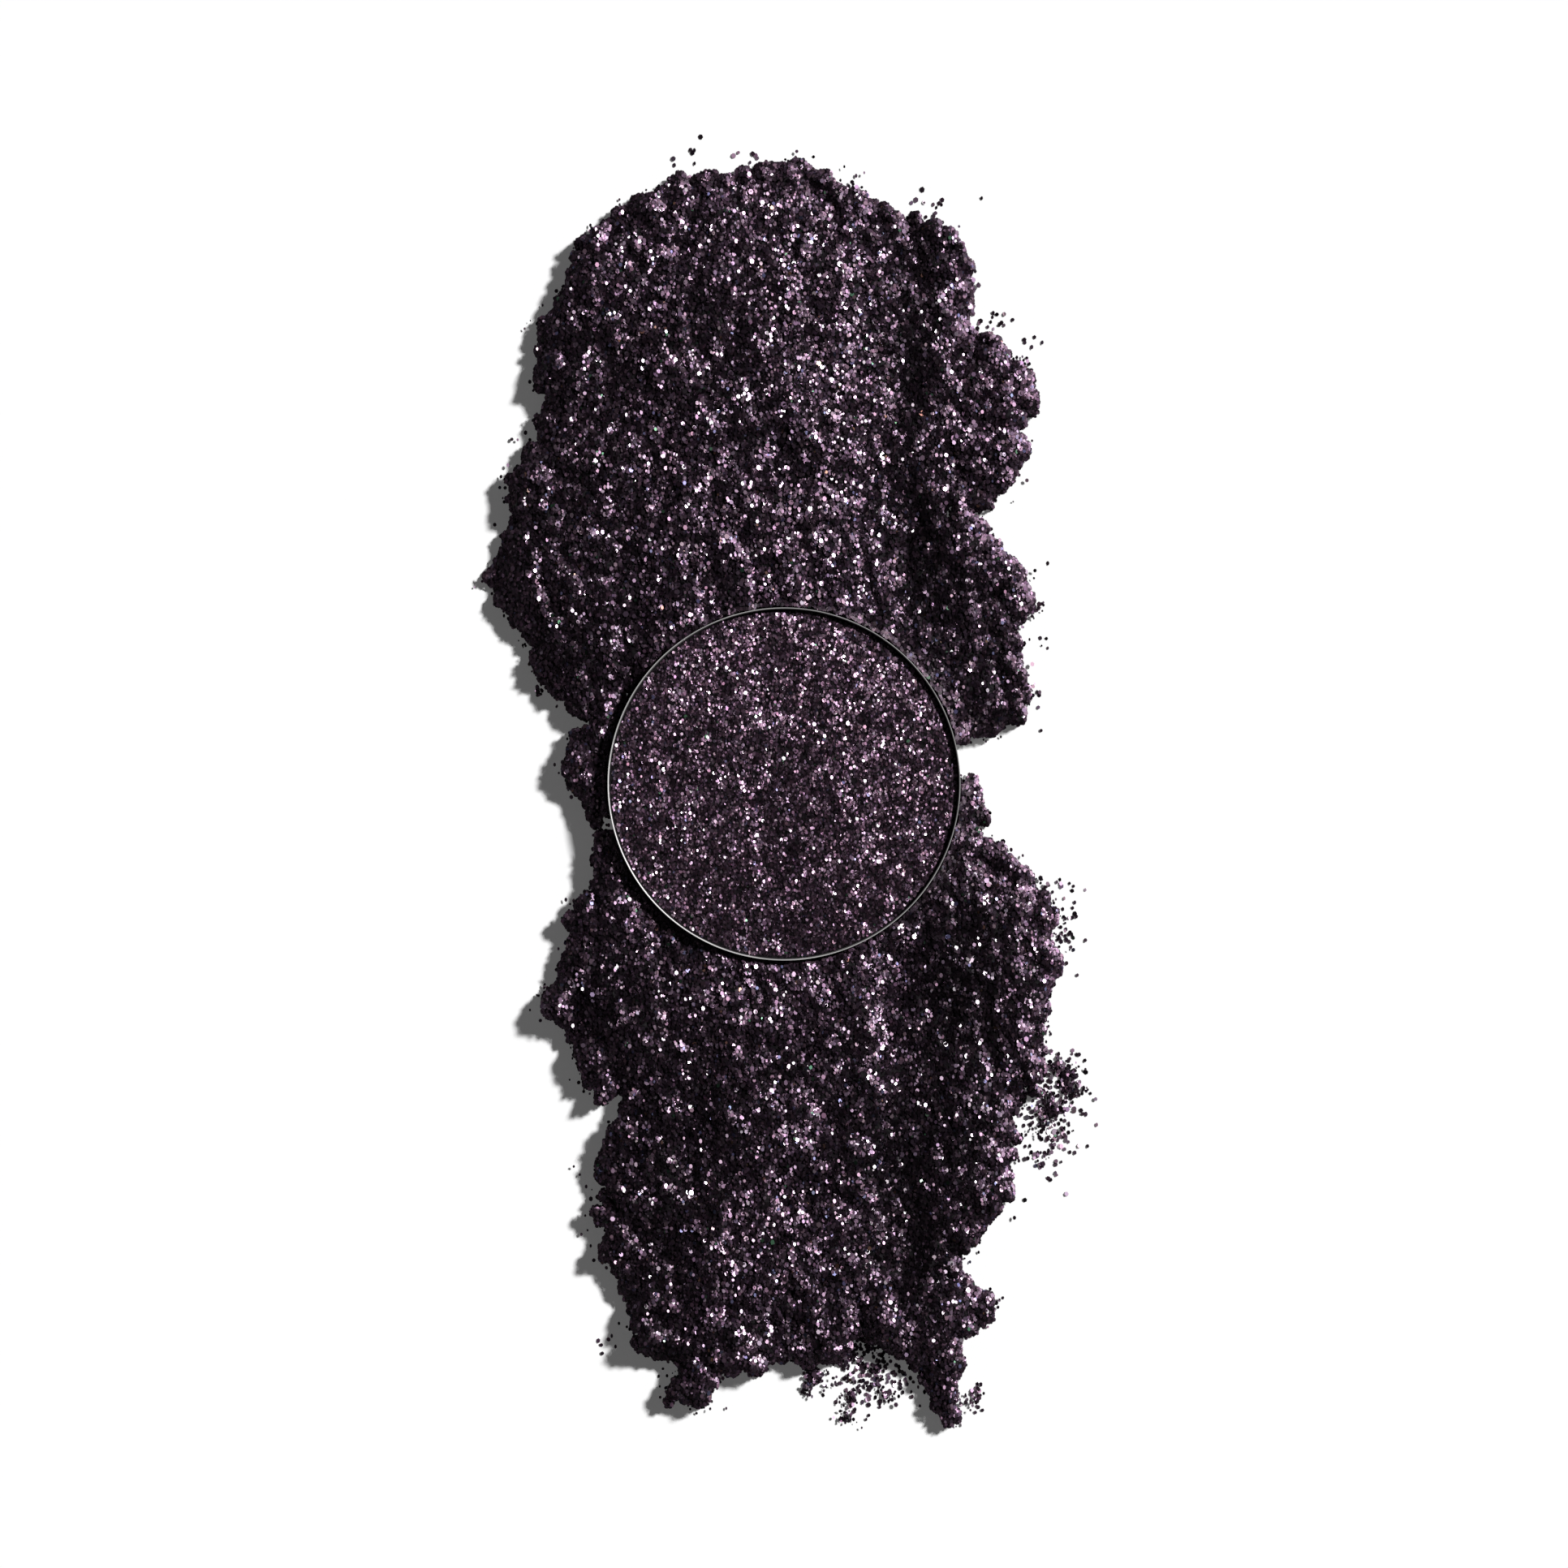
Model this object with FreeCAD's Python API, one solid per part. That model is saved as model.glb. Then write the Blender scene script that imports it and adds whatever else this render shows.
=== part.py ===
"""One round refill pan of pressed glitter eyeshadow, lying in a spread of the same glitter, crushed.

Millimetres, +Z up. The origin is on the pan's axis, on the surface that the spread lies on, and +Y runs
along the spread's length. The pan is a drawn tinplate cup that holds the pressed cake. The spread is a bed
under the pan, two long strokes of a spatula, the lobes and clumps that lean on them, and the crumbs and
flakes that broke away.
"""

import FreeCAD
import Part

import math
import os
from typing import NamedTuple

Point = tuple[float, float]

# Pan: a cup drawn from thin tinplate, with a bend round its base and its trimmed edge broken on both sides
PAN_DIAMETER = 26.0
PAN_HEIGHT = 3.4
SHEET = 0.2
BASE_BEND = 0.8
EDGE_BREAK = 0.05

# Pressed cake: how far its face lies below the rim, and the gap that pressing leaves at the wall
FILL_GAP = 0.4
PRESS_CLEARANCE = 0.02

# Seat of the pan in the spread
BED_THICKNESS = 0.6
PAN_CLEARANCE = 0.3

# Side of a heap, ring by ring: how far up, as a share of its height, and how far in from the ring before, as
# a share of its slope's run. Its shoulder is lumpy: a ring's corners are up to this share too high or too low
HEAP_SIDE = ((0.0, 0.0), (0.56, 0.1), (0.8, 0.25), (0.93, 0.3), (1.0, 0.35))
HEAP_UNEVENNESS = 0.3

# Broad grooves that the spatula left along the strokes
GROOVE_RADIUS = 6.0
GROOVE_DEPTH = 0.5

# Crumbs: their tops are drawn in, they have this many sides, and some corners are this share shorter
CRUMB_TOP_SHARE = 0.62
CRUMB_SIDES = 7
CRUMB_UNEVENNESS = 0.24

# Single flakes: hexagons cut from film
FLAKE_ACROSS = 0.38
FLAKE_THICKNESS = 0.05

PAN_RADIUS = PAN_DIAMETER / 2
PAN_BASE = BED_THICKNESS
PAN_RIM = PAN_BASE + PAN_HEIGHT
CAKE_FACE = PAN_RIM - FILL_GAP
BED_RADIUS = PAN_RADIUS - BASE_BEND
SEAT_RADIUS = PAN_RADIUS + PAN_CLEARANCE


class Heap(NamedTuple):
    """A heap of crushed glitter.

    Its outline runs anticlockwise and is written from the pan's wall at a bearing. A groove is a pair of
    places across the heap, where it leaves the pan and where it ends.
    """

    name: str
    bearing: float
    height: float
    slope_run: float
    leans_on: tuple[str, ...]
    outline: tuple[Point, ...]
    grooves: tuple[Point, ...] = ()


class Crumb(NamedTuple):
    """A lump that broke away, placed from the pan's wall at the crumbs' bearing."""

    x: float
    y: float
    radius: float
    height: float


EAST, NORTH, WEST, SOUTH = 0.0, 90.0, 180.0, 270.0

HEAPS = (
    Heap("upper_stroke", NORTH, 3.8, 4.5, (), (
        (10.5, -4.5), (11.6, 1.0), (12.2, 7.0), (12.6, 13.0), (12.7, 18.0), (13.6, 21.6), (14.2, 23.6),
        (13.8, 25.6), (13.0, 27.3), (11.6, 28.5), (8.6, 29.4), (6.4, 30.8), (3.2, 32.1), (0.8, 33.0),
        (-1.2, 33.3), (-2.8, 32.5), (-3.8, 31.4), (-5.2, 32.2), (-8.2, 31.9), (-10.2, 30.9),
        (-12.2, 29.4), (-14.2, 27.5), (-16.1, 24.9), (-17.4, 22.2), (-18.2, 19.6), (-18.3, 16.0),
        (-17.9, 12.5), (-16.6, 8.0), (-14.4, 3.0), (-11.0, -4.0), (-6.0, -8.0), (0.0, -9.0),
        (6.0, -8.0)),
        ((-10.4, -12.2), (-2.0, -3.0), (8.8, 9.4))),
    Heap("lower_stroke", SOUTH, 3.7, 4.5, (), (
        (-10.5, 4.0), (-11.0, -4.0), (-11.4, -9.5), (-12.3, -12.2), (-13.4, -13.8), (-14.0, -15.6),
        (-13.5, -17.8), (-14.4, -18.9), (-13.2, -20.4), (-12.9, -22.4), (-12.3, -24.2), (-11.4, -25.8),
        (-11.2, -27.6), (-10.5, -29.3), (-8.0, -29.9), (-4.0, -30.4), (1.0, -30.0), (3.6, -29.6),
        (5.2, -28.2), (7.0, -27.4), (10.5, -26.6), (13.2, -23.6), (13.4, -17.0), (12.6, -8.0),
        (11.4, 0.0), (8.0, 7.0), (0.0, 9.0), (-7.5, 7.5)),
        ((-7.2, -8.2), (8.6, 9.2))),
    Heap("upper_left_lobe", NORTH, 3.4, 2.2, ("upper_stroke",), (
        (-10.0, 1.0), (-11.0, 8.5), (-13.5, 12.0), (-18.3, 12.4), (-19.0, 11.4), (-20.2, 9.8),
        (-19.8, 8.4), (-20.7, 5.6), (-21.7, 4.2), (-21.9, 2.2), (-21.0, 0.9), (-19.8, -1.0),
        (-19.0, -3.0), (-18.3, -5.0), (-17.6, -6.4), (-16.4, -6.8), (-14.6, -7.6), (-11.0, -6.0))),
    Heap("upper_right_lobe", NORTH, 3.2, 2.4, ("upper_stroke",), (
        (10.6, 8.0), (14.3, 7.0), (15.2, 7.3), (16.8, 9.0), (17.6, 10.2), (17.9, 12.2), (18.2, 14.4),
        (18.8, 15.8), (18.4, 17.1), (17.2, 18.5), (16.4, 19.7), (14.6, 20.2), (12.6, 21.0),
        (10.5, 19.0), (9.8, 14.0))),
    Heap("middle_right_lobe", NORTH, 3.3, 2.4, ("upper_stroke", "upper_right_lobe"), (
        (12.6, -10.4), (13.6, -9.4), (14.9, -9.3), (16.2, -8.7), (17.4, -7.9), (18.1, -6.6),
        (18.1, -4.6), (17.8, -2.6), (17.0, -1.5), (17.9, -0.7), (18.8, 0.4), (17.8, 2.0), (17.0, 3.5),
        (15.5, 5.3), (14.2, 6.8), (10.8, 6.5), (9.4, 1.0), (9.8, -5.5))),
    Heap("lower_left_lobe", SOUTH, 3.2, 1.8, ("lower_stroke",), (
        (-9.0, -7.5), (-8.0, 1.0), (-10.0, 7.0), (-13.3, 10.0), (-13.9, 7.2), (-14.6, 5.4), (-16.1, 2.9),
        (-16.0, 1.0), (-16.4, -1.2), (-17.7, -2.3), (-17.6, -3.9), (-16.0, -5.5), (-15.6, -7.4),
        (-14.8, -9.0), (-13.7, -10.2), (-12.0, -10.4), (-10.6, -9.6))),
    Heap("lower_right_lobe", SOUTH, 3.3, 2.6, ("lower_stroke",), (
        (9.5, -17.0), (12.6, -21.8), (15.0, -20.4), (16.4, -19.2), (17.4, -17.1), (16.7, -14.0),
        (17.3, -11.2), (18.3, -9.4), (19.2, -7.0), (19.4, -4.8), (19.7, -2.6), (20.5, -1.0),
        (20.7, 0.3), (19.8, 2.0), (19.7, 4.6), (18.9, 6.0), (17.0, 7.5), (16.2, 8.7), (15.0, 9.0),
        (12.6, 8.5), (9.5, 5.0), (8.5, -3.0), (9.0, -11.0))),
    Heap("left_clump", WEST, 2.6, 0.9, ("upper_left_lobe",), (
        (1.4, -1.2), (1.8, 4.4), (1.2, 7.0), (-0.5, 6.3), (-1.4, 5.2), (-2.2, 3.9), (-3.0, 2.4),
        (-3.1, 0.6), (-2.7, -1.0), (-1.8, -2.4), (-0.4, -2.6))),
    Heap("right_clump", EAST, 2.2, 0.7, ("lower_right_lobe",), (
        (-1.5, -5.0), (0.6, -6.2), (1.8, -4.0), (1.8, -2.2), (1.4, -0.6), (1.0, 0.4), (0.1, 1.1),
        (-1.4, 0.6))),
    Heap("bottom_right_lobe", SOUTH, 2.6, 1.8, ("lower_stroke", "lower_right_lobe"), (
        (6.4, -28.0), (8.5, -29.8), (10.6, -30.6), (12.4, -28.6), (13.2, -27.7), (15.3, -26.8),
        (15.7, -25.4), (14.8, -24.4), (13.6, -24.0), (12.8, -22.8), (11.0, -22.5), (7.5, -24.5))),
    Heap("bottom_right_finger", SOUTH, 1.8, 1.0, ("bottom_right_lobe", "lower_stroke"), (
        (10.5, -31.2), (11.4, -33.4), (12.5, -34.5), (13.3, -33.8), (12.8, -31.6), (12.9, -29.6),
        (12.0, -28.0), (10.2, -28.4))),
    Heap("bottom_left_finger", SOUTH, 1.7, 1.0, ("lower_stroke",), (
        (-4.5, -30.6), (-4.8, -28.8), (-6.5, -28.8), (-7.5, -30.7), (-8.8, -32.0), (-8.1, -33.1),
        (-7.0, -33.2), (-5.7, -32.3))),
)

RIGHT_CRUMBS = (
    Crumb(20.3, -8.3, 1.15, 1.1), Crumb(21.6, -10.0, 0.7, 0.7), Crumb(19.6, -10.6, 1.0, 0.9),
    Crumb(18.9, -13.0, 1.1, 1.0), Crumb(20.7, -12.4, 0.6, 0.6), Crumb(18.6, -15.4, 0.9, 0.8),
    Crumb(20.2, -14.7, 0.5, 0.5),
)
BOTTOM_CRUMBS = (
    Crumb(4.8, -30.2, 0.9, 0.8), Crumb(6.6, -31.0, 0.8, 0.8), Crumb(5.3, -32.2, 0.7, 0.7),
    Crumb(7.9, -32.4, 0.6, 0.6), Crumb(4.6, -33.8, 0.6, 0.5), Crumb(1.9, -31.1, 0.7, 0.6),
    Crumb(14.2, -32.4, 0.6, 0.6),
)

# Flakes that lie by themselves, beside the upper and the lower half of the spread
UPPER_FLAKES = (
    (-6.8, 33.9), (-2.3, 33.8), (2.2, 33.6), (9.8, 30.4), (14.6, 21.4), (16.0, 21.1), (17.9, 19.8),
    (19.6, 3.4), (19.6, -2.9), (18.9, -7.3), (-19.2, 13.1), (-22.3, 2.2),
)
LOWER_FLAKES = (
    (20.5, 5.9), (21.6, 4.2), (20.9, 3.0), (22.4, 1.4), (21.8, -1.2), (22.4, -8.4), (17.9, -17.9),
    (-12.8, -28.0), (-13.5, -29.3), (-9.3, -31.0), (2.9, -32.4), (6.3, -33.9), (10.1, -33.2),
)


def wall_point(bearing: float) -> FreeCAD.Vector:
    """The point of the pan's wall at a bearing, at floor level."""
    turn = math.radians(bearing)
    return FreeCAD.Vector(PAN_RADIUS * math.cos(turn), PAN_RADIUS * math.sin(turn), 0)


def column(radius: float, bottom: float, top: float) -> Part.Shape:
    """A cylinder on the pan's axis."""
    return Part.makeCylinder(radius, top - bottom, FreeCAD.Vector(0, 0, bottom))


def turned(*edges: Part.Edge) -> Part.Shape:
    """A solid turned about the pan's axis from the edges of a closed profile in the XZ plane."""
    face = Part.Face(Part.Wire(list(edges)))
    return face.revolve(FreeCAD.Vector(0, 0, 0), FreeCAD.Vector(0, 0, 1), 360)


def lines(points: list[Point]) -> list[Part.Edge]:
    """The straight edges of a turned profile from point to point, each a radius and a height."""
    places = [FreeCAD.Vector(r, 0, z) for r, z in points]
    return [Part.makeLine(start, end) for start, end in zip(places, places[1:])]


def arc(start: Point, middle: Point, end: Point) -> Part.Edge:
    """A round edge of a turned profile through three points."""
    return Part.Arc(*(FreeCAD.Vector(r, 0, z) for r, z in (start, middle, end))).toShape()


def quarter(centre: Point, radius: float) -> tuple[Point, Point, Point]:
    """Start, middle and end of the bend from a flat base, below its centre, up to a wall outside it."""
    r, z = centre
    slant = radius * math.sqrt(0.5)
    return (r, z - radius), (r + slant, z - slant), (r + radius, z)


def pan_shell() -> Part.Shape:
    """The drawn cup: base, bend, straight wall and trimmed edge."""
    bend_centre = (PAN_RADIUS - BASE_BEND, PAN_BASE + BASE_BEND)
    outer = quarter(bend_centre, BASE_BEND)
    inner = quarter(bend_centre, BASE_BEND - SHEET)
    inside = PAN_RADIUS - SHEET
    edge = [
        outer[2],
        (PAN_RADIUS, PAN_RIM - EDGE_BREAK),
        (PAN_RADIUS - EDGE_BREAK, PAN_RIM),
        (inside + EDGE_BREAK, PAN_RIM),
        (inside, PAN_RIM - EDGE_BREAK),
        inner[2],
    ]
    floor = [inner[0], (0, PAN_BASE + SHEET), (0, PAN_BASE), outer[0]]
    return turned(arc(*outer), *lines(edge), arc(*reversed(inner)), *lines(floor))


def pressed_cake() -> Part.Shape:
    """The cake, which fills the cup to below its rim. A slant clears the bend inside the cup."""
    bend_centre = (PAN_RADIUS - BASE_BEND, PAN_BASE + BASE_BEND)
    low, _, high = quarter(bend_centre, BASE_BEND - SHEET - PRESS_CLEARANCE)
    profile = [(0, low[1]), low, high, (high[0], CAKE_FACE), (0, CAKE_FACE), (0, low[1])]
    return turned(*lines(profile))


def drawn_in(outline: list[Point], distance: float) -> list[Point]:
    """An anticlockwise outline with each point moved inwards, square to the line between its neighbours."""
    moved = []
    for i, (x, y) in enumerate(outline):
        before, after = outline[i - 1], outline[(i + 1) % len(outline)]
        along_x, along_y = after[0] - before[0], after[1] - before[1]
        length = math.hypot(along_x, along_y)
        moved.append((x - along_y / length * distance, y + along_x / length * distance))
    return moved


def rounded(outline: list[Point]) -> list[Point]:
    """An outline with each point drawn half way to the middle of its neighbours."""
    eased = []
    for i, (x, y) in enumerate(outline):
        before, after = outline[i - 1], outline[(i + 1) % len(outline)]
        eased.append(((2 * x + before[0] + after[0]) / 4, (2 * y + before[1] + after[1]) / 4))
    return eased


def polygon(corners: list[FreeCAD.Vector]) -> Part.Face:
    """A flat face with these corners."""
    return Part.Face(Part.makePolygon([*corners, corners[0]]))


def faceted_loft(rings: list[list[FreeCAD.Vector]]) -> Part.Shape:
    """A solid with flat facets from ring to ring and a flat face on the first and the last."""
    faces = [polygon(rings[0]), polygon(rings[-1])]
    for lower, upper in zip(rings, rings[1:]):
        for i, corner in enumerate(lower):
            j = (i + 1) % len(lower)
            faces.append(polygon([corner, lower[j], upper[j]]))
            faces.append(polygon([corner, upper[j], upper[i]]))
    return Part.Solid(Part.makeShell(faces))


def heap_blank(heap: Heap) -> Part.Shape:
    """A whole heap with its grooves. It rises steeply from its ragged outline and rounds over to its crown."""
    origin = wall_point(heap.bearing)
    outline = [(origin.x + x, origin.y + y) for x, y in heap.outline]
    low, high = min(y for _, y in outline), max(y for _, y in outline)
    rings = []
    for level, (rise, run) in enumerate(HEAP_SIDE):
        if run:
            outline = rounded(drawn_in(outline, run * heap.slope_run))
        lump = HEAP_UNEVENNESS * rise * (1 - rise) * heap.height
        rings.append([FreeCAD.Vector(x, y, rise * heap.height + lump * math.sin(2.4 * corner + level))
                      for corner, (x, y) in enumerate(outline)])
    blank = faceted_loft(rings)
    axis_height = heap.height + GROOVE_RADIUS - GROOVE_DEPTH
    near, far = (low, high) if heap.bearing == NORTH else (high, low)
    for start, end in heap.grooves:
        foot = FreeCAD.Vector(start, near, axis_height)
        run = FreeCAD.Vector(end, far, axis_height) - foot
        blank = blank.cut(Part.makeCylinder(GROOVE_RADIUS, run.Length, foot, run))
    return blank


def crumb_group(crumbs: tuple[Crumb, ...], bearing: float) -> Part.Shape:
    """A group of lumps with uneven sides."""
    origin = wall_point(bearing)
    solids = []
    for number, crumb in enumerate(crumbs):
        rings = []
        for share, height in ((1.0, 0.0), (CRUMB_TOP_SHARE, crumb.height)):
            corners = []
            for side in range(CRUMB_SIDES):
                turn = 2 * math.pi * side / CRUMB_SIDES + number
                dent = CRUMB_UNEVENNESS / 2 * (1 - math.cos(3 * side + number))
                reach = crumb.radius * share * (1 - dent)
                corners.append(origin + FreeCAD.Vector(
                    crumb.x + reach * math.cos(turn), crumb.y + reach * math.sin(turn), height))
            rings.append(corners)
        solids.append(faceted_loft(rings))
    return Part.makeCompound(solids)


def flake_group(*places: tuple[float, tuple[Point, ...]]) -> list[Part.Shape]:
    """Single flakes that lie flat, each turned another way, from pairs of a bearing and places."""
    reach = FLAKE_ACROSS / math.sqrt(3)
    flakes = []
    for bearing, points in places:
        for number, (x, y) in enumerate(points):
            centre = wall_point(bearing) + FreeCAD.Vector(x, y, 0)
            corners = []
            for side in range(6):
                turn = math.pi * side / 3 + number
                corners.append(centre + FreeCAD.Vector(reach * math.cos(turn), reach * math.sin(turn), 0))
            flakes.append(polygon(corners).extrude(FreeCAD.Vector(0, 0, FLAKE_THICKNESS)))
    return flakes


def spread_nodes() -> dict[str, Part.Shape]:
    """The crushed spread: each heap is cut to the pan's seat, the bed and the heaps that it leans on."""
    tallest = max(max(heap.height for heap in HEAPS), PAN_RIM)
    seat = column(SEAT_RADIUS, BED_THICKNESS, tallest + PAN_CLEARANCE)
    bed = column(BED_RADIUS, 0, BED_THICKNESS)
    nodes = {"pan_bed": bed}
    blanks = {}
    for heap in HEAPS:
        blanks[heap.name] = heap_blank(heap)
        tools = [seat, bed] + [blanks[name] for name in heap.leans_on]
        nodes[heap.name] = blanks[heap.name].cut(tools)
    nodes["right_crumbs"] = crumb_group(RIGHT_CRUMBS, SOUTH)
    nodes["bottom_crumbs"] = crumb_group(BOTTOM_CRUMBS, SOUTH)
    nodes["loose_flakes"] = Part.makeCompound(flake_group((NORTH, UPPER_FLAKES), (SOUTH, LOWER_FLAKES)))
    return nodes


def main() -> None:
    """Build every node and write it out."""
    os.makedirs("parts", exist_ok=True)
    nodes = {"pan_shell": pan_shell(), "pressed_cake": pressed_cake()} | spread_nodes()
    for name, shape in nodes.items():
        shape.exportStep(f"parts/{name}.step")
        box = shape.BoundBox
        print(f"{name}: {len(shape.Solids)} solids, {shape.Volume:.1f} mm3, valid {shape.isValid()}, "
              f"x {box.XMin:.1f} to {box.XMax:.1f}, y {box.YMin:.1f} to {box.YMax:.1f}, "
              f"z {box.ZMin:.2f} to {box.ZMax:.2f}")


main()
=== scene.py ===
"""Looks for a refill pan of pressed glitter eyeshadow that lies in a spread of the same glitter, crushed.

Every length is in metres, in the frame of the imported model. The spread is a lumpy dark mass, whose heights
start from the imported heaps, with thousands of cut hexagons of metallised film lying on it. The cake in the
pan is pressed from finer film.
"""

import logging
import math
from dataclasses import dataclass, field
from enum import Enum
from typing import NamedTuple

import bpy
import numpy as np
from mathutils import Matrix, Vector, noise
from mathutils.bvhtree import BVHTree
from mathutils.kdtree import KDTree


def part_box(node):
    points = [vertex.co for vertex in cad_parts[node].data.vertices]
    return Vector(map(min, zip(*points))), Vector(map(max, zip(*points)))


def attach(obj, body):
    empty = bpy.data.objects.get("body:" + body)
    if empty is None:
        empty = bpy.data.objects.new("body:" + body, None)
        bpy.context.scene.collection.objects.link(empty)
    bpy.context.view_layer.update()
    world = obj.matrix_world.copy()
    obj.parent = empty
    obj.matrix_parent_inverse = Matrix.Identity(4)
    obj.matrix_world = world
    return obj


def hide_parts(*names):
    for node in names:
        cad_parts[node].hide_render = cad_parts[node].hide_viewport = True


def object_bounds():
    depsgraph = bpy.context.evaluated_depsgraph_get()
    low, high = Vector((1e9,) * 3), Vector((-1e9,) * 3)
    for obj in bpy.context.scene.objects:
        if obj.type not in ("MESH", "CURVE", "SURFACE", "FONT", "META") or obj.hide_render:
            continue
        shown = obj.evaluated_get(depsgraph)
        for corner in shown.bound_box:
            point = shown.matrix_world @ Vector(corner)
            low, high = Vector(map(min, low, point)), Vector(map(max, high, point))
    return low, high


MM = 0.001
GLOSS_RANGE = (0.2, 0.65)
NOISE_REACH = 1.4
NOISE_SPREAD = 0.27
NOISE_SEED = 7
TINY = 1e-9

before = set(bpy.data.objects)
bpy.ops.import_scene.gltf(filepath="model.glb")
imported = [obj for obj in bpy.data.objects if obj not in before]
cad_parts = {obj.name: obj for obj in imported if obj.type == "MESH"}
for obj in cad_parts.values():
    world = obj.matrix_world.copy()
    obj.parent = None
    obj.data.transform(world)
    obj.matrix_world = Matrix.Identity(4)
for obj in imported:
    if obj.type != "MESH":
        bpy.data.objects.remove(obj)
CAD_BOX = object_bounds()
PAN_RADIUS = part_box("pan_shell")[1].x
log = logging.getLogger("eyeshadow")

Colour = tuple[float, float, float]
Stops = list[tuple[float, Colour]]


class Body(Enum):
    """The bodies that pieces ride on."""

    PAN = "pan"
    SPREAD = "crushed_spread"


class Slot(Enum):
    """The record's material slots."""

    TINPLATE = "tinplate"
    PRESSED = "pressed_glitter"
    CRUSHED = "crushed_glitter"


class Layer(Enum):
    """The fields of chance, each cut from the same noise at a level of its own."""

    EDGE_X = 1.5
    EDGE_Y = 3.5
    LUMPS = 5.5
    SWELLS = 7.5
    SCATTER = 12.5
    TUFTS = 14.5
    CAKE = 31.5


class Rest(NamedTuple):
    """How the crushed glitter of one heap rests.

    The run is how far in from its foot, in millimetres, a heap reaches about two thirds of its height. A thin
    one is only scattered, a few flakes deep, with bare floor between.
    """

    run: float
    thin: bool = False


HEAPS = {
    "upper_stroke": Rest(8.0),
    "lower_stroke": Rest(8.0),
    "upper_left_lobe": Rest(8.0),
    "upper_right_lobe": Rest(8.0),
    "middle_right_lobe": Rest(8.0),
    "lower_left_lobe": Rest(8.0),
    "lower_right_lobe": Rest(8.0),
    "left_clump": Rest(1.1),
    "right_clump": Rest(1.1),
    "bottom_right_lobe": Rest(1.1),
    "bottom_right_finger": Rest(1.1),
    "bottom_left_finger": Rest(1.1),
    "right_crumbs": Rest(0.4, True),
    "bottom_crumbs": Rest(0.4, True),
}


@dataclass
class Graph:
    """A small helper that adds nodes to one material and links them."""

    material: bpy.types.Material

    @classmethod
    def named(cls, name: str) -> "Graph":
        """Start a material.

        Args:
            name: The material's name.

        Returns:
            A graph that holds only the output and a principled shader.
        """
        material = bpy.data.materials.new(name)
        material.use_nodes = True
        return cls(material)

    @property
    def shader(self) -> bpy.types.Node:
        """The principled shader."""
        return self.material.node_tree.nodes["Principled BSDF"]

    def add(self, kind: str, **inputs: object) -> bpy.types.Node:
        """Add a node.

        Args:
            kind: The node's type without its Shader prefix.
            inputs: Values or output sockets by input name, with underscores for spaces.

        Returns:
            The new node.
        """
        node = self.material.node_tree.nodes.new("ShaderNode" + kind)
        for name, value in inputs.items():
            self.feed(node.inputs[name.replace("_", " ")], value)
        return node

    def feed(self, socket: bpy.types.NodeSocket, value: object) -> None:
        """Set or link one input.

        Args:
            socket: The input.
            value: A number, a colour or the output socket of another node.
        """
        if isinstance(value, bpy.types.NodeSocket):
            self.material.node_tree.links.new(value, socket)
        else:
            socket.default_value = value

    def set(self, **inputs: object) -> None:
        """Set or link inputs of the principled shader by name, with underscores for spaces."""
        for name, value in inputs.items():
            self.feed(self.shader.inputs[name.replace("_", " ")], value)

    def attribute(self, name: str) -> bpy.types.Node:
        """Read a mesh attribute by its name."""
        node = self.add("Attribute")
        node.attribute_name = name
        return node

    def ramp(self, factor: bpy.types.NodeSocket, stops: Stops) -> bpy.types.NodeSocket:
        """Add a colour ramp.

        Args:
            factor: What drives it.
            stops: Places from 0 to 1, each with a linear colour.

        Returns:
            The ramp's colour output.
        """
        node = self.add("ValToRGB", Fac=factor)
        elements = node.color_ramp.elements
        while len(elements) < len(stops):
            elements.new(0.5)
        for element, (place, colour) in zip(elements, stops):
            element.position = place
            element.color = (*colour, 1.0)
        return node.outputs["Color"]

    def noise(self, scale: float, detail: float = 3.0, stretch: Colour = (1, 1, 1)) -> bpy.types.NodeSocket:
        """Add a noise texture on the object's own coordinates.

        Args:
            scale: Repeats in a metre.
            detail: Octaves.
            stretch: How much finer it is along each axis.

        Returns:
            The noise's value.
        """
        place = self.add("TexCoord").outputs["Object"]
        mapping = self.add("Mapping", Vector=place, Scale=stretch)
        texture = self.add("TexNoise", Vector=mapping.outputs["Vector"], Scale=scale, Detail=detail)
        return texture.outputs["Fac"]

    def between(self, value: bpy.types.NodeSocket, low: float, high: float) -> bpy.types.NodeSocket:
        """Map a value from 0..1 to low..high."""
        return self.add("MapRange", Value=value, To_Min=low, To_Max=high).outputs["Result"]


@dataclass(frozen=True)
class FilmFinish:
    """Metallised film cut into flakes, whose tint and gloss come with each flake."""

    name: str
    metallic: float = 0.95
    coat: float = 1.0
    coat_roughness: float = 0.2
    patch_scale: float = 260.0
    patch_low: float = 0.8
    patch_high: float = 1.2

    def material(self) -> bpy.types.Material:
        """Build the material: the flake's own tint, varied in patches, and its own roughness."""
        graph = Graph.named(self.name)
        patches = graph.between(graph.noise(self.patch_scale), self.patch_low, self.patch_high)
        shade = graph.add("VectorMath", Vector=graph.attribute(FlakeCloud.TINT).outputs["Color"])
        shade.operation = "SCALE"
        graph.feed(shade.inputs["Scale"], patches)
        gloss = graph.attribute(FlakeCloud.ROUGHNESS).outputs["Fac"]
        graph.set(Base_Color=shade.outputs["Vector"], Roughness=gloss, Metallic=self.metallic)
        graph.set(Coat_Weight=self.coat, Coat_Roughness=self.coat_roughness)
        return graph.material


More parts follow.
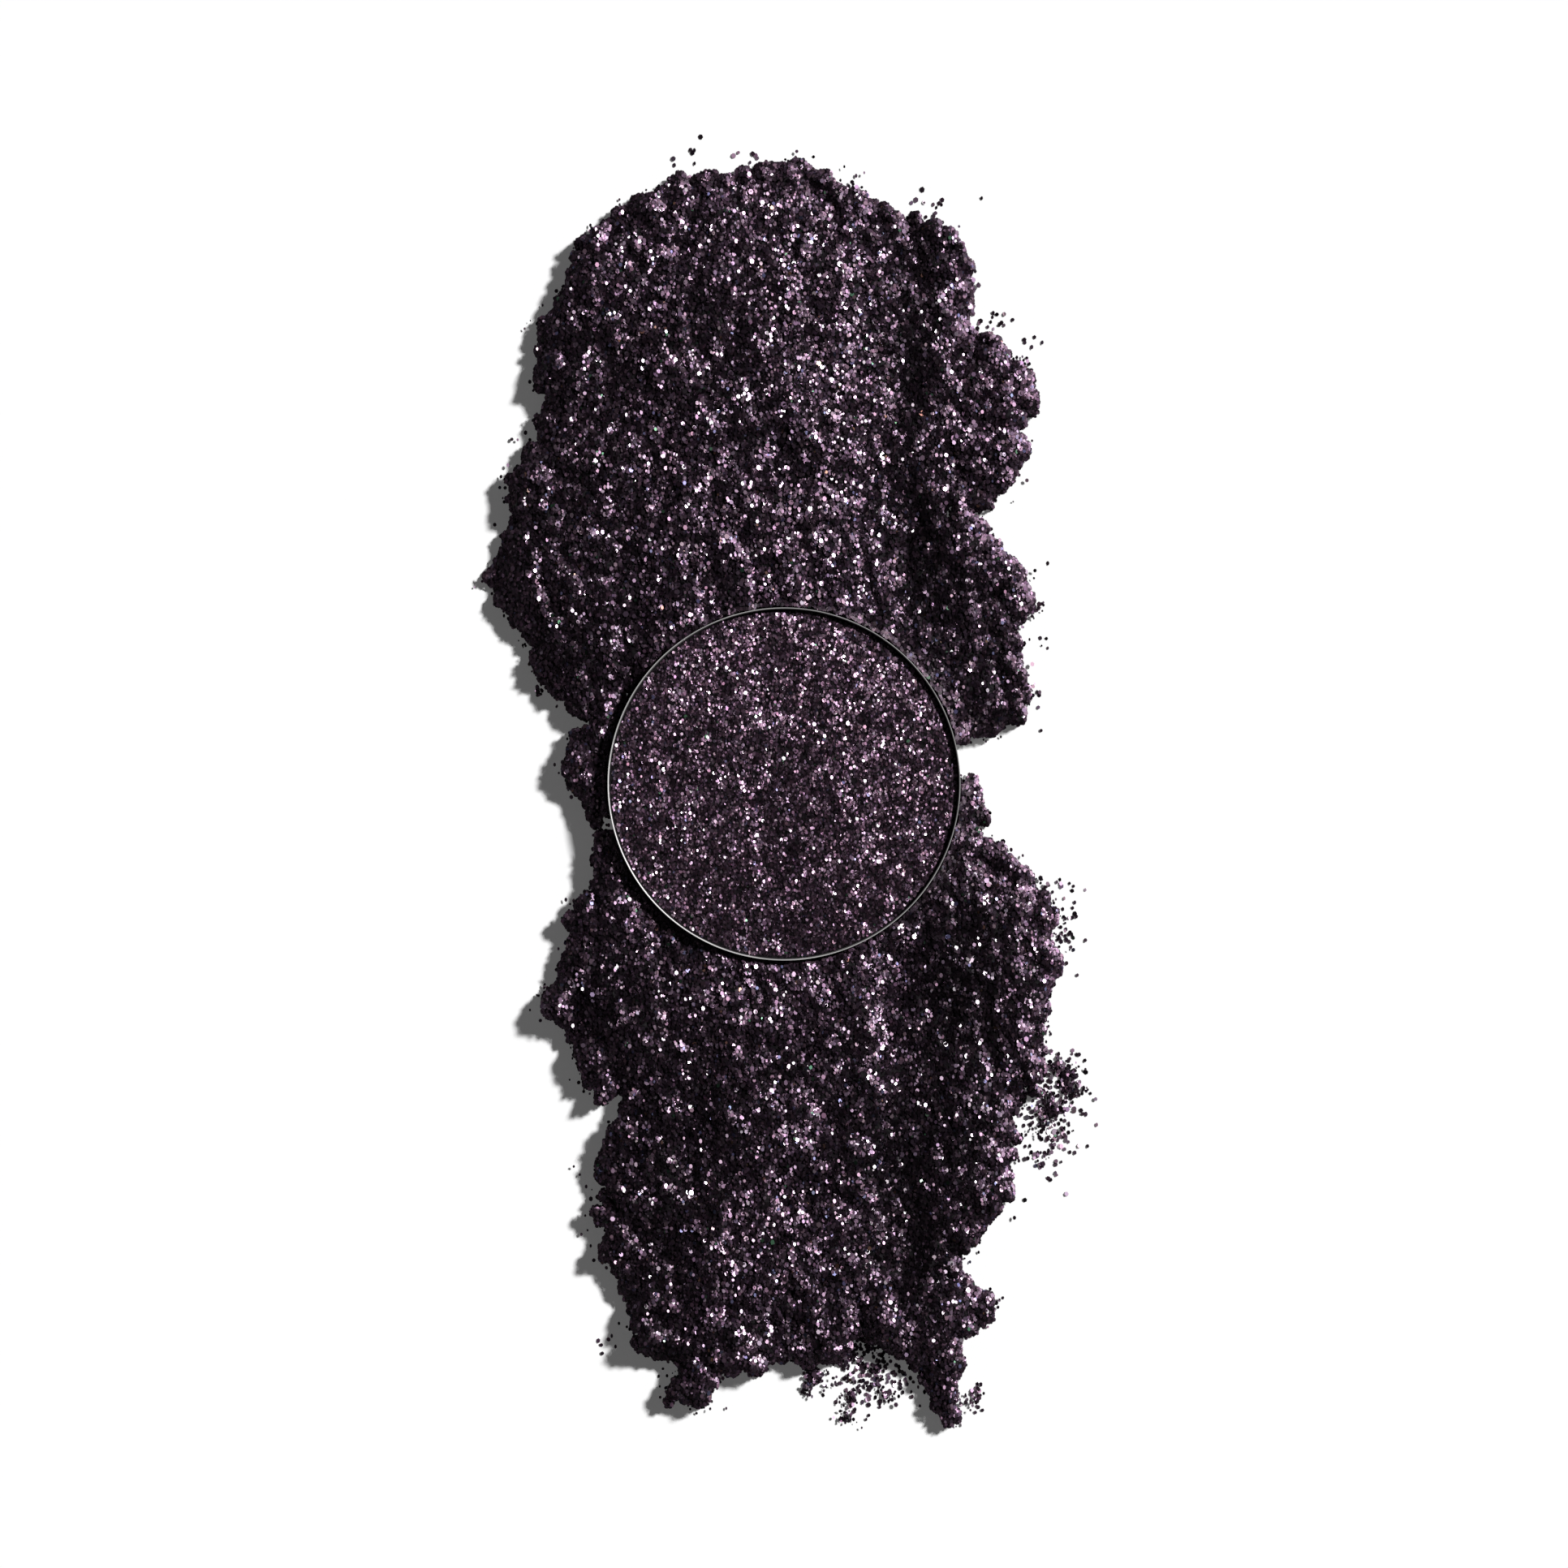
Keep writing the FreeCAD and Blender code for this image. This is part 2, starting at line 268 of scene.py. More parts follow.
@dataclass(frozen=True)
class MassFinish:
    """The dark packed mass between and under the flakes, made near black as painted shade for the gaps between
    them.
    """

    name: str
    # painted shade: near-black tones, so that the gaps between the flakes read as shadowed
    low: Colour = (0.001, 0.0007, 0.001)
    high: Colour = (0.007, 0.0047, 0.0067)
    tone_band: tuple[float, float] = (0.15, 0.85)
    grain_scale: float = 3200.0
    grain_bump: float = 0.6
    grain_depth: float = 0.08 * MM
    gloss_scale: float = 900.0
    roughness: tuple[float, float] = (0.42, 0.75)
    specular: float = 0.08

    def material(self) -> bpy.types.Material:
        """Build the material: dark grains with a rough, glinting surface."""
        graph = Graph.named(self.name)
        place = graph.add("TexCoord").outputs["Object"]
        grains = graph.add("TexVoronoi", Vector=place, Scale=self.grain_scale)
        tone = graph.ramp(grains.outputs["Color"], list(zip(self.tone_band, (self.low, self.high))))
        bump = graph.add("Bump", Strength=self.grain_bump, Distance=self.grain_depth)
        graph.feed(bump.inputs["Height"], grains.outputs["Distance"])
        rough = graph.between(graph.noise(self.gloss_scale), *self.roughness)
        graph.set(Base_Color=tone, Roughness=rough, Normal=bump.outputs["Normal"])
        graph.set(Specular_IOR_Level=self.specular)
        return graph.material


@dataclass(frozen=True)
class TinFinish:
    """Bright drawn tinplate, with fine lines round it and a little staining."""

    name: str
    clean: Colour = (0.66, 0.65, 0.64)
    stained: Colour = (0.55, 0.54, 0.54)
    stain_band: tuple[float, float] = (0.35, 0.62)
    stain_scale: float = 420.0
    stain_detail: float = 5.0
    line_scale: float = 1500.0
    line_detail: float = 2.0
    line_stretch: Colour = (1.0, 1.0, 14.0)
    line_bump: float = 0.15
    line_depth: float = 0.02 * MM
    roughness: tuple[float, float] = (0.46, 0.54)

    def material(self) -> bpy.types.Material:
        """Build the material: fine lines round the wall and soft stains."""
        graph = Graph.named(self.name)
        blots = graph.noise(self.stain_scale, self.stain_detail)
        stain = graph.ramp(blots, list(zip(self.stain_band, (self.stained, self.clean))))
        lines = graph.noise(self.line_scale, self.line_detail, self.line_stretch)
        rough = graph.between(lines, *self.roughness)
        bump = graph.add("Bump", Strength=self.line_bump, Distance=self.line_depth, Height=lines)
        graph.set(Base_Color=stain, Roughness=rough, Normal=bump.outputs["Normal"], Metallic=1.0)
        return graph.material


@dataclass(frozen=True)
class BoardFinish:
    """Matt white board, which glows so faintly that it only lifts its own shadows."""

    name: str
    white: Colour = (0.98, 0.98, 0.98)
    lift: float = 0.09
    dimmed: float = 0.995
    mottle_band: tuple[float, float] = (0.3, 0.7)
    mottle_scale: float = 40.0
    roughness: float = 0.9
    specular: float = 0.1

    def material(self) -> bpy.types.Material:
        """Build the material: matt white with the faintest mottle."""
        graph = Graph.named(self.name)
        dimmer = tuple(self.dimmed * part for part in self.white)
        mottle = graph.ramp(graph.noise(self.mottle_scale), list(zip(self.mottle_band, (dimmer, self.white))))
        graph.set(Base_Color=mottle, Roughness=self.roughness, Specular_IOR_Level=self.specular)
        graph.set(Emission_Color=(1.0, 1.0, 1.0, 1.0), Emission_Strength=self.lift)
        return graph.material


@dataclass(frozen=True)
class Tints:
    """The tints that flakes are drawn from: how many of each in a thousand, and the linear colour."""

    shares: tuple[tuple[int, Colour], ...]
    spread: float = 0.45
    hue_spread: float = 0.05
    limits: tuple[float, float] = (0.002, 0.95)

    def draw(self, count: int, rng: np.random.Generator) -> np.ndarray:
        """Draw a tint for each flake.

        Args:
            count: How many flakes.
            rng: The source of chance.

        Returns:
            A row of red, green, blue and alpha for each flake.
        """
        weights = np.array([share for share, _ in self.shares], float)
        colours = np.array([colour for _, colour in self.shares])
        picked = colours[rng.choice(len(colours), count, p=weights / weights.sum())]
        picked = picked * np.exp(rng.normal(0.0, self.spread, (count, 1)))
        picked = picked * (1 + rng.normal(0.0, self.hue_spread, (count, 3)))
        return np.concatenate([np.clip(picked, *self.limits), np.ones((count, 1))], 1)


CRUSHED_TINTS = Tints((
    (400, (0.105, 0.062, 0.096)),
    (300, (0.146, 0.091, 0.136)),
    (150, (0.069, 0.040, 0.064)),
    (90, (0.244, 0.170, 0.232)),
    (40, (0.032, 0.020, 0.031)),
    (14, (0.130, 0.119, 0.225)),
    (3, (0.081, 0.175, 0.108)),
    (3, (0.219, 0.112, 0.087)),
))
PRESSED_TINTS = Tints((
    (400, (0.119, 0.067, 0.104)),
    (330, (0.156, 0.093, 0.141)),
    (130, (0.082, 0.047, 0.073)),
    (100, (0.246, 0.169, 0.231)),
    (26, (0.035, 0.021, 0.032)),
    (10, (0.131, 0.114, 0.218)),
    (4, (0.079, 0.172, 0.104)),
))


@dataclass(frozen=True)
class Lie:
    """How flakes lie on a surface: in patches that lean together, some askew, none too steep to rest."""

    lean: float
    wild_share: float
    wild_lean: float
    patch: float = 0.9 * MM
    patch_lean: float = 9.0
    steepest: float = 28.0

    def tilt(self, places: np.ndarray, normals: np.ndarray, rng: np.random.Generator) -> np.ndarray:
        """Tilt each normal by chance.

        Args:
            places: The flakes' places.
            normals: Unit vectors of the surface.
            rng: The source of chance.

        Returns:
            Unit vectors of the flakes.
        """
        wild = rng.uniform(0, 1, (len(normals), 1)) < self.wild_share
        slant = np.tan(np.radians(np.where(wild, self.wild_lean, self.lean)))
        moved = normals + rng.normal(0.0, 1.0, normals.shape) * slant
        drift = np.array([noise.noise_vector(spot) for spot in places / self.patch])
        moved += drift * math.tan(math.radians(self.patch_lean)) / NOISE_SPREAD
        flat = np.linalg.norm(moved[:, :2], axis=1)
        moved[:, 2] = np.maximum(moved[:, 2], flat / math.tan(math.radians(self.steepest)))
        return moved / np.linalg.norm(moved, axis=1, keepdims=True)


@dataclass
class FlakeCloud:
    """Flakes as closed solids: a flat hexagon on top and a shallow point below."""

    TINT = "flake_tint"
    ROUGHNESS = "flake_roughness"
    BAKE_MAP = "OFBake"
    SIDES = 6
    CELL_SHARE = 0.42
    SIDEWAYS = 0.9

    name: str
    centres: np.ndarray
    normals: np.ndarray
    across: np.ndarray
    tints: np.ndarray
    roughness: np.ndarray
    depth: float = 0.05 * MM
    least_squeeze: float = 0.64

    def corners(self, rng: np.random.Generator) -> np.ndarray:
        """Place each flake's points.

        Args:
            rng: The source of chance for each flake's turn and shape.

        Returns:
            For each flake, its corners and the point below.
        """
        count = len(self.centres)
        upright = np.abs(self.normals[:, :1]) < self.SIDEWAYS
        helper = np.where(upright, [[1.0, 0.0, 0.0]], [[0.0, 1.0, 0.0]])
        side = np.cross(self.normals, helper)
        side /= np.linalg.norm(side, axis=1, keepdims=True)
        up = np.cross(self.normals, side)
        turn = rng.uniform(0, math.tau, (count, 1)) + np.arange(self.SIDES) * math.tau / self.SIDES
        reach = (self.across / math.sqrt(3))[:, None]
        squeeze = rng.uniform(self.least_squeeze, 1.0, (count, 1))
        along = (reach * np.cos(turn))[..., None] * side[:, None]
        aside = (reach * squeeze * np.sin(turn))[..., None] * up[:, None]
        point = self.centres - self.normals * self.depth
        return np.concatenate([self.centres[:, None] + along + aside, point[:, None]], 1)

    def build(self, points: np.ndarray, finish: bpy.types.Material) -> bpy.types.Object:
        """Make the mesh object.

        Args:
            points: For each flake, its corners and the point below.
            finish: The film's material.

        Returns:
            The object, with tint, roughness and a map that gives each flake a cell of its own.
        """
        count, size = len(points), self.SIDES + 1
        pattern = list(range(self.SIDES))
        for k in range(self.SIDES):
            pattern += [(k + 1) % self.SIDES, k, self.SIDES]
        loops = (np.arange(count)[:, None] * size + np.array(pattern)).ravel()
        totals = np.tile([self.SIDES] + [3] * self.SIDES, count)
        mesh = bpy.data.meshes.new(self.name)
        mesh.vertices.add(count * size)
        mesh.vertices.foreach_set("co", points.astype(np.float32).ravel())
        mesh.loops.add(len(loops))
        mesh.loops.foreach_set("vertex_index", loops.astype(np.int32))
        mesh.polygons.add(len(totals))
        mesh.polygons.foreach_set("loop_start", (np.cumsum(totals) - totals).astype(np.int32))
        mesh.polygons.foreach_set("loop_total", totals.astype(np.int32))
        mesh.polygons.foreach_set("use_smooth", np.zeros(len(totals), bool))
        mesh.update(calc_edges=True)
        tint = mesh.color_attributes.new(self.TINT, "FLOAT_COLOR", "POINT")
        tint.data.foreach_set("color", np.repeat(self.tints, size, 0).astype(np.float32).ravel())
        rough = mesh.attributes.new(self.ROUGHNESS, "FLOAT", "POINT")
        rough.data.foreach_set("value", np.repeat(self.roughness, size).astype(np.float32))
        layer = mesh.uv_layers.new(name=self.BAKE_MAP)
        layer.uv.foreach_set("vector", self.cells(count, pattern).astype(np.float32).ravel())
        mesh.materials.append(finish)
        return placed(self.name, mesh)

    def cells(self, count: int, pattern: list[int]) -> np.ndarray:
        """Lay the flakes out flat, each in a cell of a square grid.

        Args:
            count: How many flakes.
            pattern: The points that one flake's faces run through.

        Returns:
            A place from 0 to 1 for each corner of each face.
        """
        across = math.ceil(math.sqrt(count))
        number = np.arange(count)
        middle = (np.stack([number % across, number // across], 1) + 0.5) / across
        turn = np.arange(self.SIDES) * math.tau / self.SIDES
        ring = np.stack([np.cos(turn), np.sin(turn)], 1) * self.CELL_SHARE / across
        ring = np.concatenate([ring, [[0.0, 0.0]]])
        return middle[:, None] + ring[np.array(pattern)]


def placed(name: str, mesh: bpy.types.Mesh) -> bpy.types.Object:
    """Make an object of a mesh and link it to the scene."""
    piece = bpy.data.objects.new(name, mesh)
    bpy.context.scene.collection.objects.link(piece)
    return piece


def settle(piece: bpy.types.Object, body: Body) -> None:
    """Put a piece on its body and report it.

    Args:
        piece: The new object.
        body: What it moves with.
    """
    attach(piece, body.value)
    log.info("%s: %d faces on %s", piece.name, len(piece.data.polygons), body.value)


def ripple(x: np.ndarray, y: np.ndarray, across: float, along: float, layer: float) -> np.ndarray:
    """Smooth chance values from about -1 to 1.

    Args:
        x: Places along X.
        y: Places along Y, of the same shape.
        across: The size of a lump along X.
        along: The size of a lump along Y.
        layer: A number that tells one field from another.

    Returns:
        A value at each place.
    """
    pairs = zip((x / across).ravel(), (y / along).ravel())
    return np.array([noise.noise((a, b, layer)) for a, b in pairs]).reshape(x.shape) * NOISE_REACH


class Clods(NamedTuple):
    """Broken lumps of the pressed cake, each with a flat face at its own slant, and creases between them."""

    SPREAD_OUT = 17.3
    SLANT_GAIN = 2.0
    CREASE_RUN = 0.14

    size: float
    stretch: float
    slant: float
    crease: float
    layer: float

    def heights(self, x: np.ndarray, y: np.ndarray) -> np.ndarray:
        """Work out the lumps' heights.

        Args:
            x: Places along X.
            y: Places along Y, of the same shape.

        Returns:
            A height at each place, about zero on average and lower in the creases.
        """
        out = []
        for a, b in zip((x / self.size).ravel(), (y / self.size / self.stretch).ravel()):
            gaps, spots = noise.voronoi((a, b, self.layer))
            turn = noise.noise_vector(spots[0] * self.SPREAD_OUT) * self.SLANT_GAIN
            rise = self.slant * (turn.x * (a - spots[0].x) + turn.y * (b - spots[0].y)) * self.size
            out.append(rise - self.crease * math.exp(-(gaps[1] - gaps[0]) / self.CREASE_RUN))
        return np.array(out).reshape(x.shape)


class Valley(NamedTuple):
    """A furrow between two strokes, from one place to another, in millimetres."""

    start: tuple[float, float]
    end: tuple[float, float]
    half_width: float
    depth: float

    def depths(self, x: np.ndarray, y: np.ndarray) -> np.ndarray:
        """Work out how deep the furrow is.

        Args:
            x: Places along X.
            y: Places along Y, of the same shape.

        Returns:
            A depth at each place.
        """
        (ax, ay), (bx, by) = self.start, self.end
        ax, ay, bx, by = (MM * v for v in (ax, ay, bx, by))
        run_x, run_y = bx - ax, by - ay
        share = np.clip(((x - ax) * run_x + (y - ay) * run_y) / (run_x**2 + run_y**2), 0, 1)
        away = np.hypot(x - ax - share * run_x, y - ay - share * run_y)
        return self.depth * MM * np.exp(-(away / (self.half_width * MM)) ** 2)


class Knob(NamedTuple):
    """A place on the spread's edge that stands higher or lower than the rest.

    It has a middle and a radius in millimetres, and the share by which the edge is raised there.
    """

    x: float
    y: float
    radius: float
    share: float

    def shares(self, x: np.ndarray, y: np.ndarray) -> np.ndarray:
        """The share by which each place is raised."""
        away = np.hypot(x / MM - self.x, y / MM - self.y)
        return self.share * np.exp(-((away / self.radius) ** 2))


class Sweep(NamedTuple):
    """A patch where the spatula dragged the flakes, so that they lie like shingles, with painted shade
    darkening their tint.

    It has a middle and half sizes in millimetres, the degrees by which the flakes lean towards -X, and the
    share of their tint that is darkened there as painted shade.
    """

    x: float
    y: float
    half_x: float
    half_y: float
    lean: float
    # painted shade: the share by which the flakes' tint is darkened at the patch's middle
    painted_shade: float = 0.0

    def weight(self, places: np.ndarray) -> np.ndarray:
        """How much of the sweep each place gets, from 0 to 1."""
        across = (places[:, 0] / MM - self.x) / self.half_x
        along = (places[:, 1] / MM - self.y) / self.half_y
        return np.exp(-(across**2) - along**2)


def dragged(sweeps: tuple[Sweep, ...], places: np.ndarray, normals: np.ndarray) -> np.ndarray:
    """Lean the flakes over as the spatula left them.

    Args:
        sweeps: The dragged patches.
        places: The flakes' places.
        normals: Unit vectors of the surface.

    Returns:
        The unit vectors leaned over.
    """
    moved = normals.copy()
    for sweep in sweeps:
        moved[:, 0] -= math.tan(math.radians(sweep.lean)) * sweep.weight(places)
    return moved / np.linalg.norm(moved, axis=1, keepdims=True)


def paint_sweep_shade(sweeps: tuple[Sweep, ...], places: np.ndarray, tints: np.ndarray) -> np.ndarray:
    """Paint shade into the flakes' tint in the dragged patches.

    Args:
        sweeps: The dragged patches.
        places: The flakes' places.
        tints: The flakes' colours.

    Returns:
        The colours, darkened as painted shade.
    """
    # painted shade: the share of each flake's tint that is left after the sweeps darken it
    kept = np.prod([1 - sweep.painted_shade * sweep.weight(places) for sweep in sweeps], axis=0)
    return tints * np.stack([kept, kept, kept, np.ones(len(kept))], 1)


@dataclass
class SpreadSurface:
    """The crushed glitter's surface as heights on a square grid."""

    pitch: float = 0.3 * MM
    margin: float = 1.5 * MM
    seat_radius: float = PAN_RADIUS + 0.3 * MM
    bare_ring: float = 0.5 * MM
    bed_drop: float = 0.2 * MM
    wall_drop: float = 0.35 * MM
    wall_rise: float = 1.5 * MM
    wall_run: float = 2.5 * MM
    fill: float = 2.4 * MM
    smooth: float = 2.0 * MM
    least_share: float = 1e-6
    edge_height: float = 2.7 * MM
    lump_reach: float = 2.5 * MM
    lowest_edge: float = 0.2
    foot_share: float = 0.5
    foot_run: float = 0.5 * MM
    least_height: float = 0.2 * MM
    full_height: float = 1.6 * MM
    deepest_valley: float = 0.75
    thin_height: float = 0.42 * MM
    thin_gap: float = 1.1 * MM
    thin_level: float = -0.08
    wanders: tuple[tuple[float, float], ...] = ((2.2 * MM, 0.44 * MM), (0.8 * MM, 0.52 * MM))
    lumps: tuple[tuple[float, float], ...] = ((4.2 * MM, 0.4), (1.4 * MM, 0.32), (0.7 * MM, 0.2))
    valleys: tuple[Valley, ...] = (
        Valley((8.8, 14.0), (9.4, 40.0), 2.6, 0.5),
        Valley((-10.8, 14.0), (-12.0, 34.0), 2.6, 0.2),
        Valley((8.6, -14.0), (9.2, -35.0), 2.6, 0.5),
        Valley((-7.2, -16.0), (-8.2, -38.0), 2.4, 0.25),
    )
    knobs: tuple[Knob, ...] = (
        Knob(-19.4, 21.8, 1.8, 0.6),
        Knob(-18.4, 27.5, 1.5, 0.3),
        Knob(-21.2, 15.0, 2.2, -0.6),
        Knob(-18.2, 9.8, 1.8, -0.3),
        Knob(-15.6, 1.2, 1.4, 0.2),
        Knob(-17.4, -17.0, 1.5, 0.3),
        Knob(-14.2, -24.2, 1.3, 0.3),
        Knob(-13.8, -33.6, 1.2, 0.5),
        Knob(-12.2, -41.2, 1.4, 0.3),
    )
    clods: tuple[Clods, ...] = (
        Clods(3.0 * MM, 1.3, 0.11, 0.06 * MM, 8.5),
        Clods(1.3 * MM, 1.0, 0.15, 0.07 * MM, 9.5),
    )
    swells: tuple[tuple[float, float], ...] = ((2.4 * MM, 0.1 * MM), (6.0 * MM, 0.22 * MM))

    def __post_init__(self) -> None:
        """Work out the heights and the heap that each place belongs to."""
        low, high = CAD_BOX
        self.xs = np.arange(low[0] - self.margin, high[0] + self.margin, self.pitch)
        self.ys = np.arange(low[1] - self.margin, high[1] + self.margin, self.pitch)
        self.x, self.y = np.meshgrid(self.xs, self.ys, indexing="ij")
        self.radius = np.hypot(self.x, self.y)
        packed, owner = self.packed_heights()
        packed = self.soften(-self.widen(-self.widen(packed)))
        owner = np.where((packed > 0) & (owner < 0), self.widen(owner), owner)
        shift_x = self.wander(Layer.EDGE_X)
        shift_y = self.wander(Layer.EDGE_Y)
        i, j = self.cell(self.x + shift_x, self.y + shift_y)
        height, owner = packed[i, j], owner[i, j]
        bowl = self.radius < self.seat_radius
        inland = self.inland((height > 0) | bowl)
        height = self.crown(height, owner, inland)
        for valley in self.valleys:
            depth = valley.depths(self.x + shift_x, self.y + shift_y)
            height = height - np.minimum(depth, self.deepest_valley * height)
        full = np.clip(height / self.full_height, 0, 1)
        for size, swell in self.swells:
            height = height + full * swell * ripple(self.x, self.y, size, size, Layer.SWELLS.value)
        for clods in self.clods:
            height = height + full * clods.heights(self.x, self.y)
        thin = np.array([heap.thin for heap in HEAPS.values()])[owner] & (owner >= 0)
        height = np.where(thin, np.minimum(height, self.thin_height), height)
        sparse = ripple(self.x, self.y, self.thin_gap, self.thin_gap, Layer.SCATTER.value)
        owner = np.where(thin & (sparse < self.thin_level), -1, owner)
        height = np.where(owner >= 0, np.maximum(height, self.least_height), 0.0)
        rise = np.clip((self.radius - self.seat_radius) / self.wall_run, 0, 1)
        pan_low, pan_high = (corner.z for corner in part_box("pan_shell"))
        height = np.minimum(height, pan_high - self.wall_drop + self.wall_rise * rise)
        bare = bowl & (self.radius > PAN_RADIUS - self.bare_ring) & self.open_floor(packed)
        self.height = np.where(bare, 0.0, np.where(bowl, pan_low - self.bed_drop, height))
        self.owner = np.where(bare, -1, np.where(bowl, len(HEAPS), owner))

    def cell(self, x: np.ndarray, y: np.ndarray) -> tuple[np.ndarray, np.ndarray]:
        """The grid numbers of the places nearest to some points."""
        i = np.clip(np.rint((x - self.xs[0]) / self.pitch).astype(int), 0, len(self.xs) - 1)
        j = np.clip(np.rint((y - self.ys[0]) / self.pitch).astype(int), 0, len(self.ys) - 1)
        return i, j

    def packed_heights(self) -> tuple[np.ndarray, np.ndarray]:
        """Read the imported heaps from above.

        Returns:
            The height at each place, and which heap is highest there, or -1.
        """
        heights = np.zeros(self.x.shape)
        owner = np.full(self.x.shape, -1)
        top = CAD_BOX[1][2] + self.margin
        for number, name in enumerate(HEAPS):
            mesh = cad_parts[name].data
            faces = [polygon.vertices for polygon in mesh.polygons]
            tree = BVHTree.FromPolygons([vertex.co for vertex in mesh.vertices], faces)
            low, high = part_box(name)
            for i in np.nonzero((self.xs >= low.x) & (self.xs <= high.x))[0]:
                for j in np.nonzero((self.ys >= low.y) & (self.ys <= high.y))[0]:
                    hit = tree.ray_cast(Vector((self.xs[i], self.ys[j], top)), Vector((0, 0, -1)))[0]
                    if hit is not None and hit.z > heights[i, j]:
                        heights[i, j], owner[i, j] = hit.z, number
        return heights, owner

    def widen(self, field: np.ndarray) -> np.ndarray:
        """The greatest value at each place and its eight neighbours."""
        out = field.copy()
        for di in (-1, 0, 1):
            for dj in (-1, 0, 1):
                out = np.maximum(out, np.roll(field, (di, dj), (0, 1)))
        return out

    def soften(self, packed: np.ndarray) -> np.ndarray:
        """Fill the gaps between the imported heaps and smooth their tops, without moving the outline.

        Args:
            packed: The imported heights.

        Returns:
            The smoothed heights, still zero on bare floor.
        """
        solid = (packed > 0).astype(float)
        level, share = packed, solid
        for _ in range(round(self.fill / self.pitch)):
            level = self.widen(level) * solid
        for _ in range(round(2 * (self.smooth / self.pitch) ** 2)):
            for axis in (0, 1):
                level = (np.roll(level, 1, axis) + 2 * level + np.roll(level, -1, axis)) / 4
                share = (np.roll(share, 1, axis) + 2 * share + np.roll(share, -1, axis)) / 4
        return solid * level / np.maximum(share, self.least_share)

    def wander(self, layer: Layer) -> np.ndarray:
        """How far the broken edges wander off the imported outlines, from a layer of chance."""
        away = np.zeros(self.x.shape)
        for number, (size, reach) in enumerate(self.wanders):
            away += reach * ripple(self.x, self.y, size, size, layer.value + 10 * number)
        return away

    def inland(self, solid: np.ndarray) -> np.ndarray:
        """How far each place is from the nearest bare floor.

        Args:
            solid: True where glitter or the pan covers the floor.

        Returns:
            A distance at each place.
        """
        padded = np.pad(solid, 1, mode="edge")
        beside = padded[:-2, 1:-1] | padded[2:, 1:-1] | padded[1:-1, :-2] | padded[1:-1, 2:]
        shore = np.stack([self.x[~solid & beside], self.y[~solid & beside]], 1)
        tree = KDTree(len(shore))
        for number, (x, y) in enumerate(shore):
            tree.insert((x, y, 0.0), number)
        tree.balance()
        away = np.zeros(solid.shape)
        for i, j in zip(*np.nonzero(solid)):
            away[i, j] = tree.find((self.xs[i], self.ys[j], 0.0))[2]
        return away

    def crown(self, packed: np.ndarray, owner: np.ndarray, inland: np.ndarray) -> np.ndarray:
        """Round the heaps over, as loose glitter rests.

        Args:
            packed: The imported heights.
            owner: The heap at each place.
            inland: How far each place is from bare floor.

        Returns:
            A height at each place: a lumpy edge that rises to a broad crown.
        """
        lumps = np.zeros(self.x.shape)
        for number, (size, share) in enumerate(self.lumps):
            lumps += share * ripple(self.x, self.y, size, size, Layer.LUMPS.value + number)
        for knob in self.knobs:
            lumps += knob.shares(self.x, self.y)
        edge = self.edge_height * np.maximum(1 + lumps * np.exp(-inland / self.lump_reach), self.lowest_edge)
        edge *= 1 - self.foot_share * np.exp(-inland / self.foot_run)
        run = np.array([heap.run * MM for heap in HEAPS.values()])[owner]
        rise = np.maximum(packed - edge, 0) * (1 - np.exp(-inland / run))
        return np.minimum(packed, edge + rise)

    def open_floor(self, packed: np.ndarray) -> np.ndarray:
        """Where the bare floor comes right up to the pan.

        Args:
            packed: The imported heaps' heights.

        Returns:
            True where the nearest place outside the seat has no heap.
        """
        out = (self.seat_radius + 2 * self.pitch) / np.maximum(self.radius, self.pitch)
        return packed[self.cell(self.x * out, self.y * out)] <= 0

    def mesh(self, name: str, sink: float) -> bpy.types.Mesh:
        """Build the surface as one closed mesh that stands on the floor.

        Args:
            name: The mesh's name.
            sink: How far the top lies below the heights.

        Returns:
            The mesh.
        """
        solid = self.height > 0
        cells = solid[:-1, :-1] & solid[1:, :-1] & solid[1:, 1:] & solid[:-1, 1:]
        used = np.zeros_like(solid)
        for a in (slice(None, -1), slice(1, None)):
            for b in (slice(None, -1), slice(1, None)):
                used[a, b] |= cells
        count = used.sum()
        number = np.full(solid.shape, -1)
        number[used] = np.arange(count)
        top = np.stack([self.x[used], self.y[used], self.height[used] - sink], 1)
        base = np.stack([self.x[used], self.y[used], np.zeros(count)], 1)
        i, j = np.nonzero(cells)
        quad = np.stack([number[i, j], number[i + 1, j], number[i + 1, j + 1], number[i, j + 1]], 1)
        walls = []
        padded = np.pad(cells, 1)
        for di, dj, first, second in ((0, -1, 0, 1), (1, 0, 1, 2), (0, 1, 2, 3), (-1, 0, 3, 0)):
            bare = ~padded[i + 1 + di, j + 1 + dj]
            a, b = quad[bare, first], quad[bare, second]
            walls.append(np.stack([a, a + count, b + count, b], 1))
        faces = np.concatenate([quad, quad[:, ::-1] + count, *walls])
        mesh = bpy.data.meshes.new(name)
        mesh.from_pydata(np.concatenate([top, base]).tolist(), [], faces.tolist())
        mesh.polygons.foreach_set("use_smooth", np.ones(len(mesh.polygons), bool))
        return mesh

    def owners(self, places: np.ndarray) -> np.ndarray:
        """Find the heap that each flake belongs to.

        Args:
            places: The flakes' places.

        Returns:
            A heap number for each flake, from the nearest place of the grid that has one.
        """
        best = np.full(len(places), -1)
        for reach in range(5):
            for di in range(-reach, reach + 1):
                for dj in range(-reach, reach + 1):
                    near = self.cell(places[:, 0] + di * self.pitch, places[:, 1] + dj * self.pitch)
                    best = np.where(best < 0, self.owner[near], best)
        return np.maximum(best, 0)

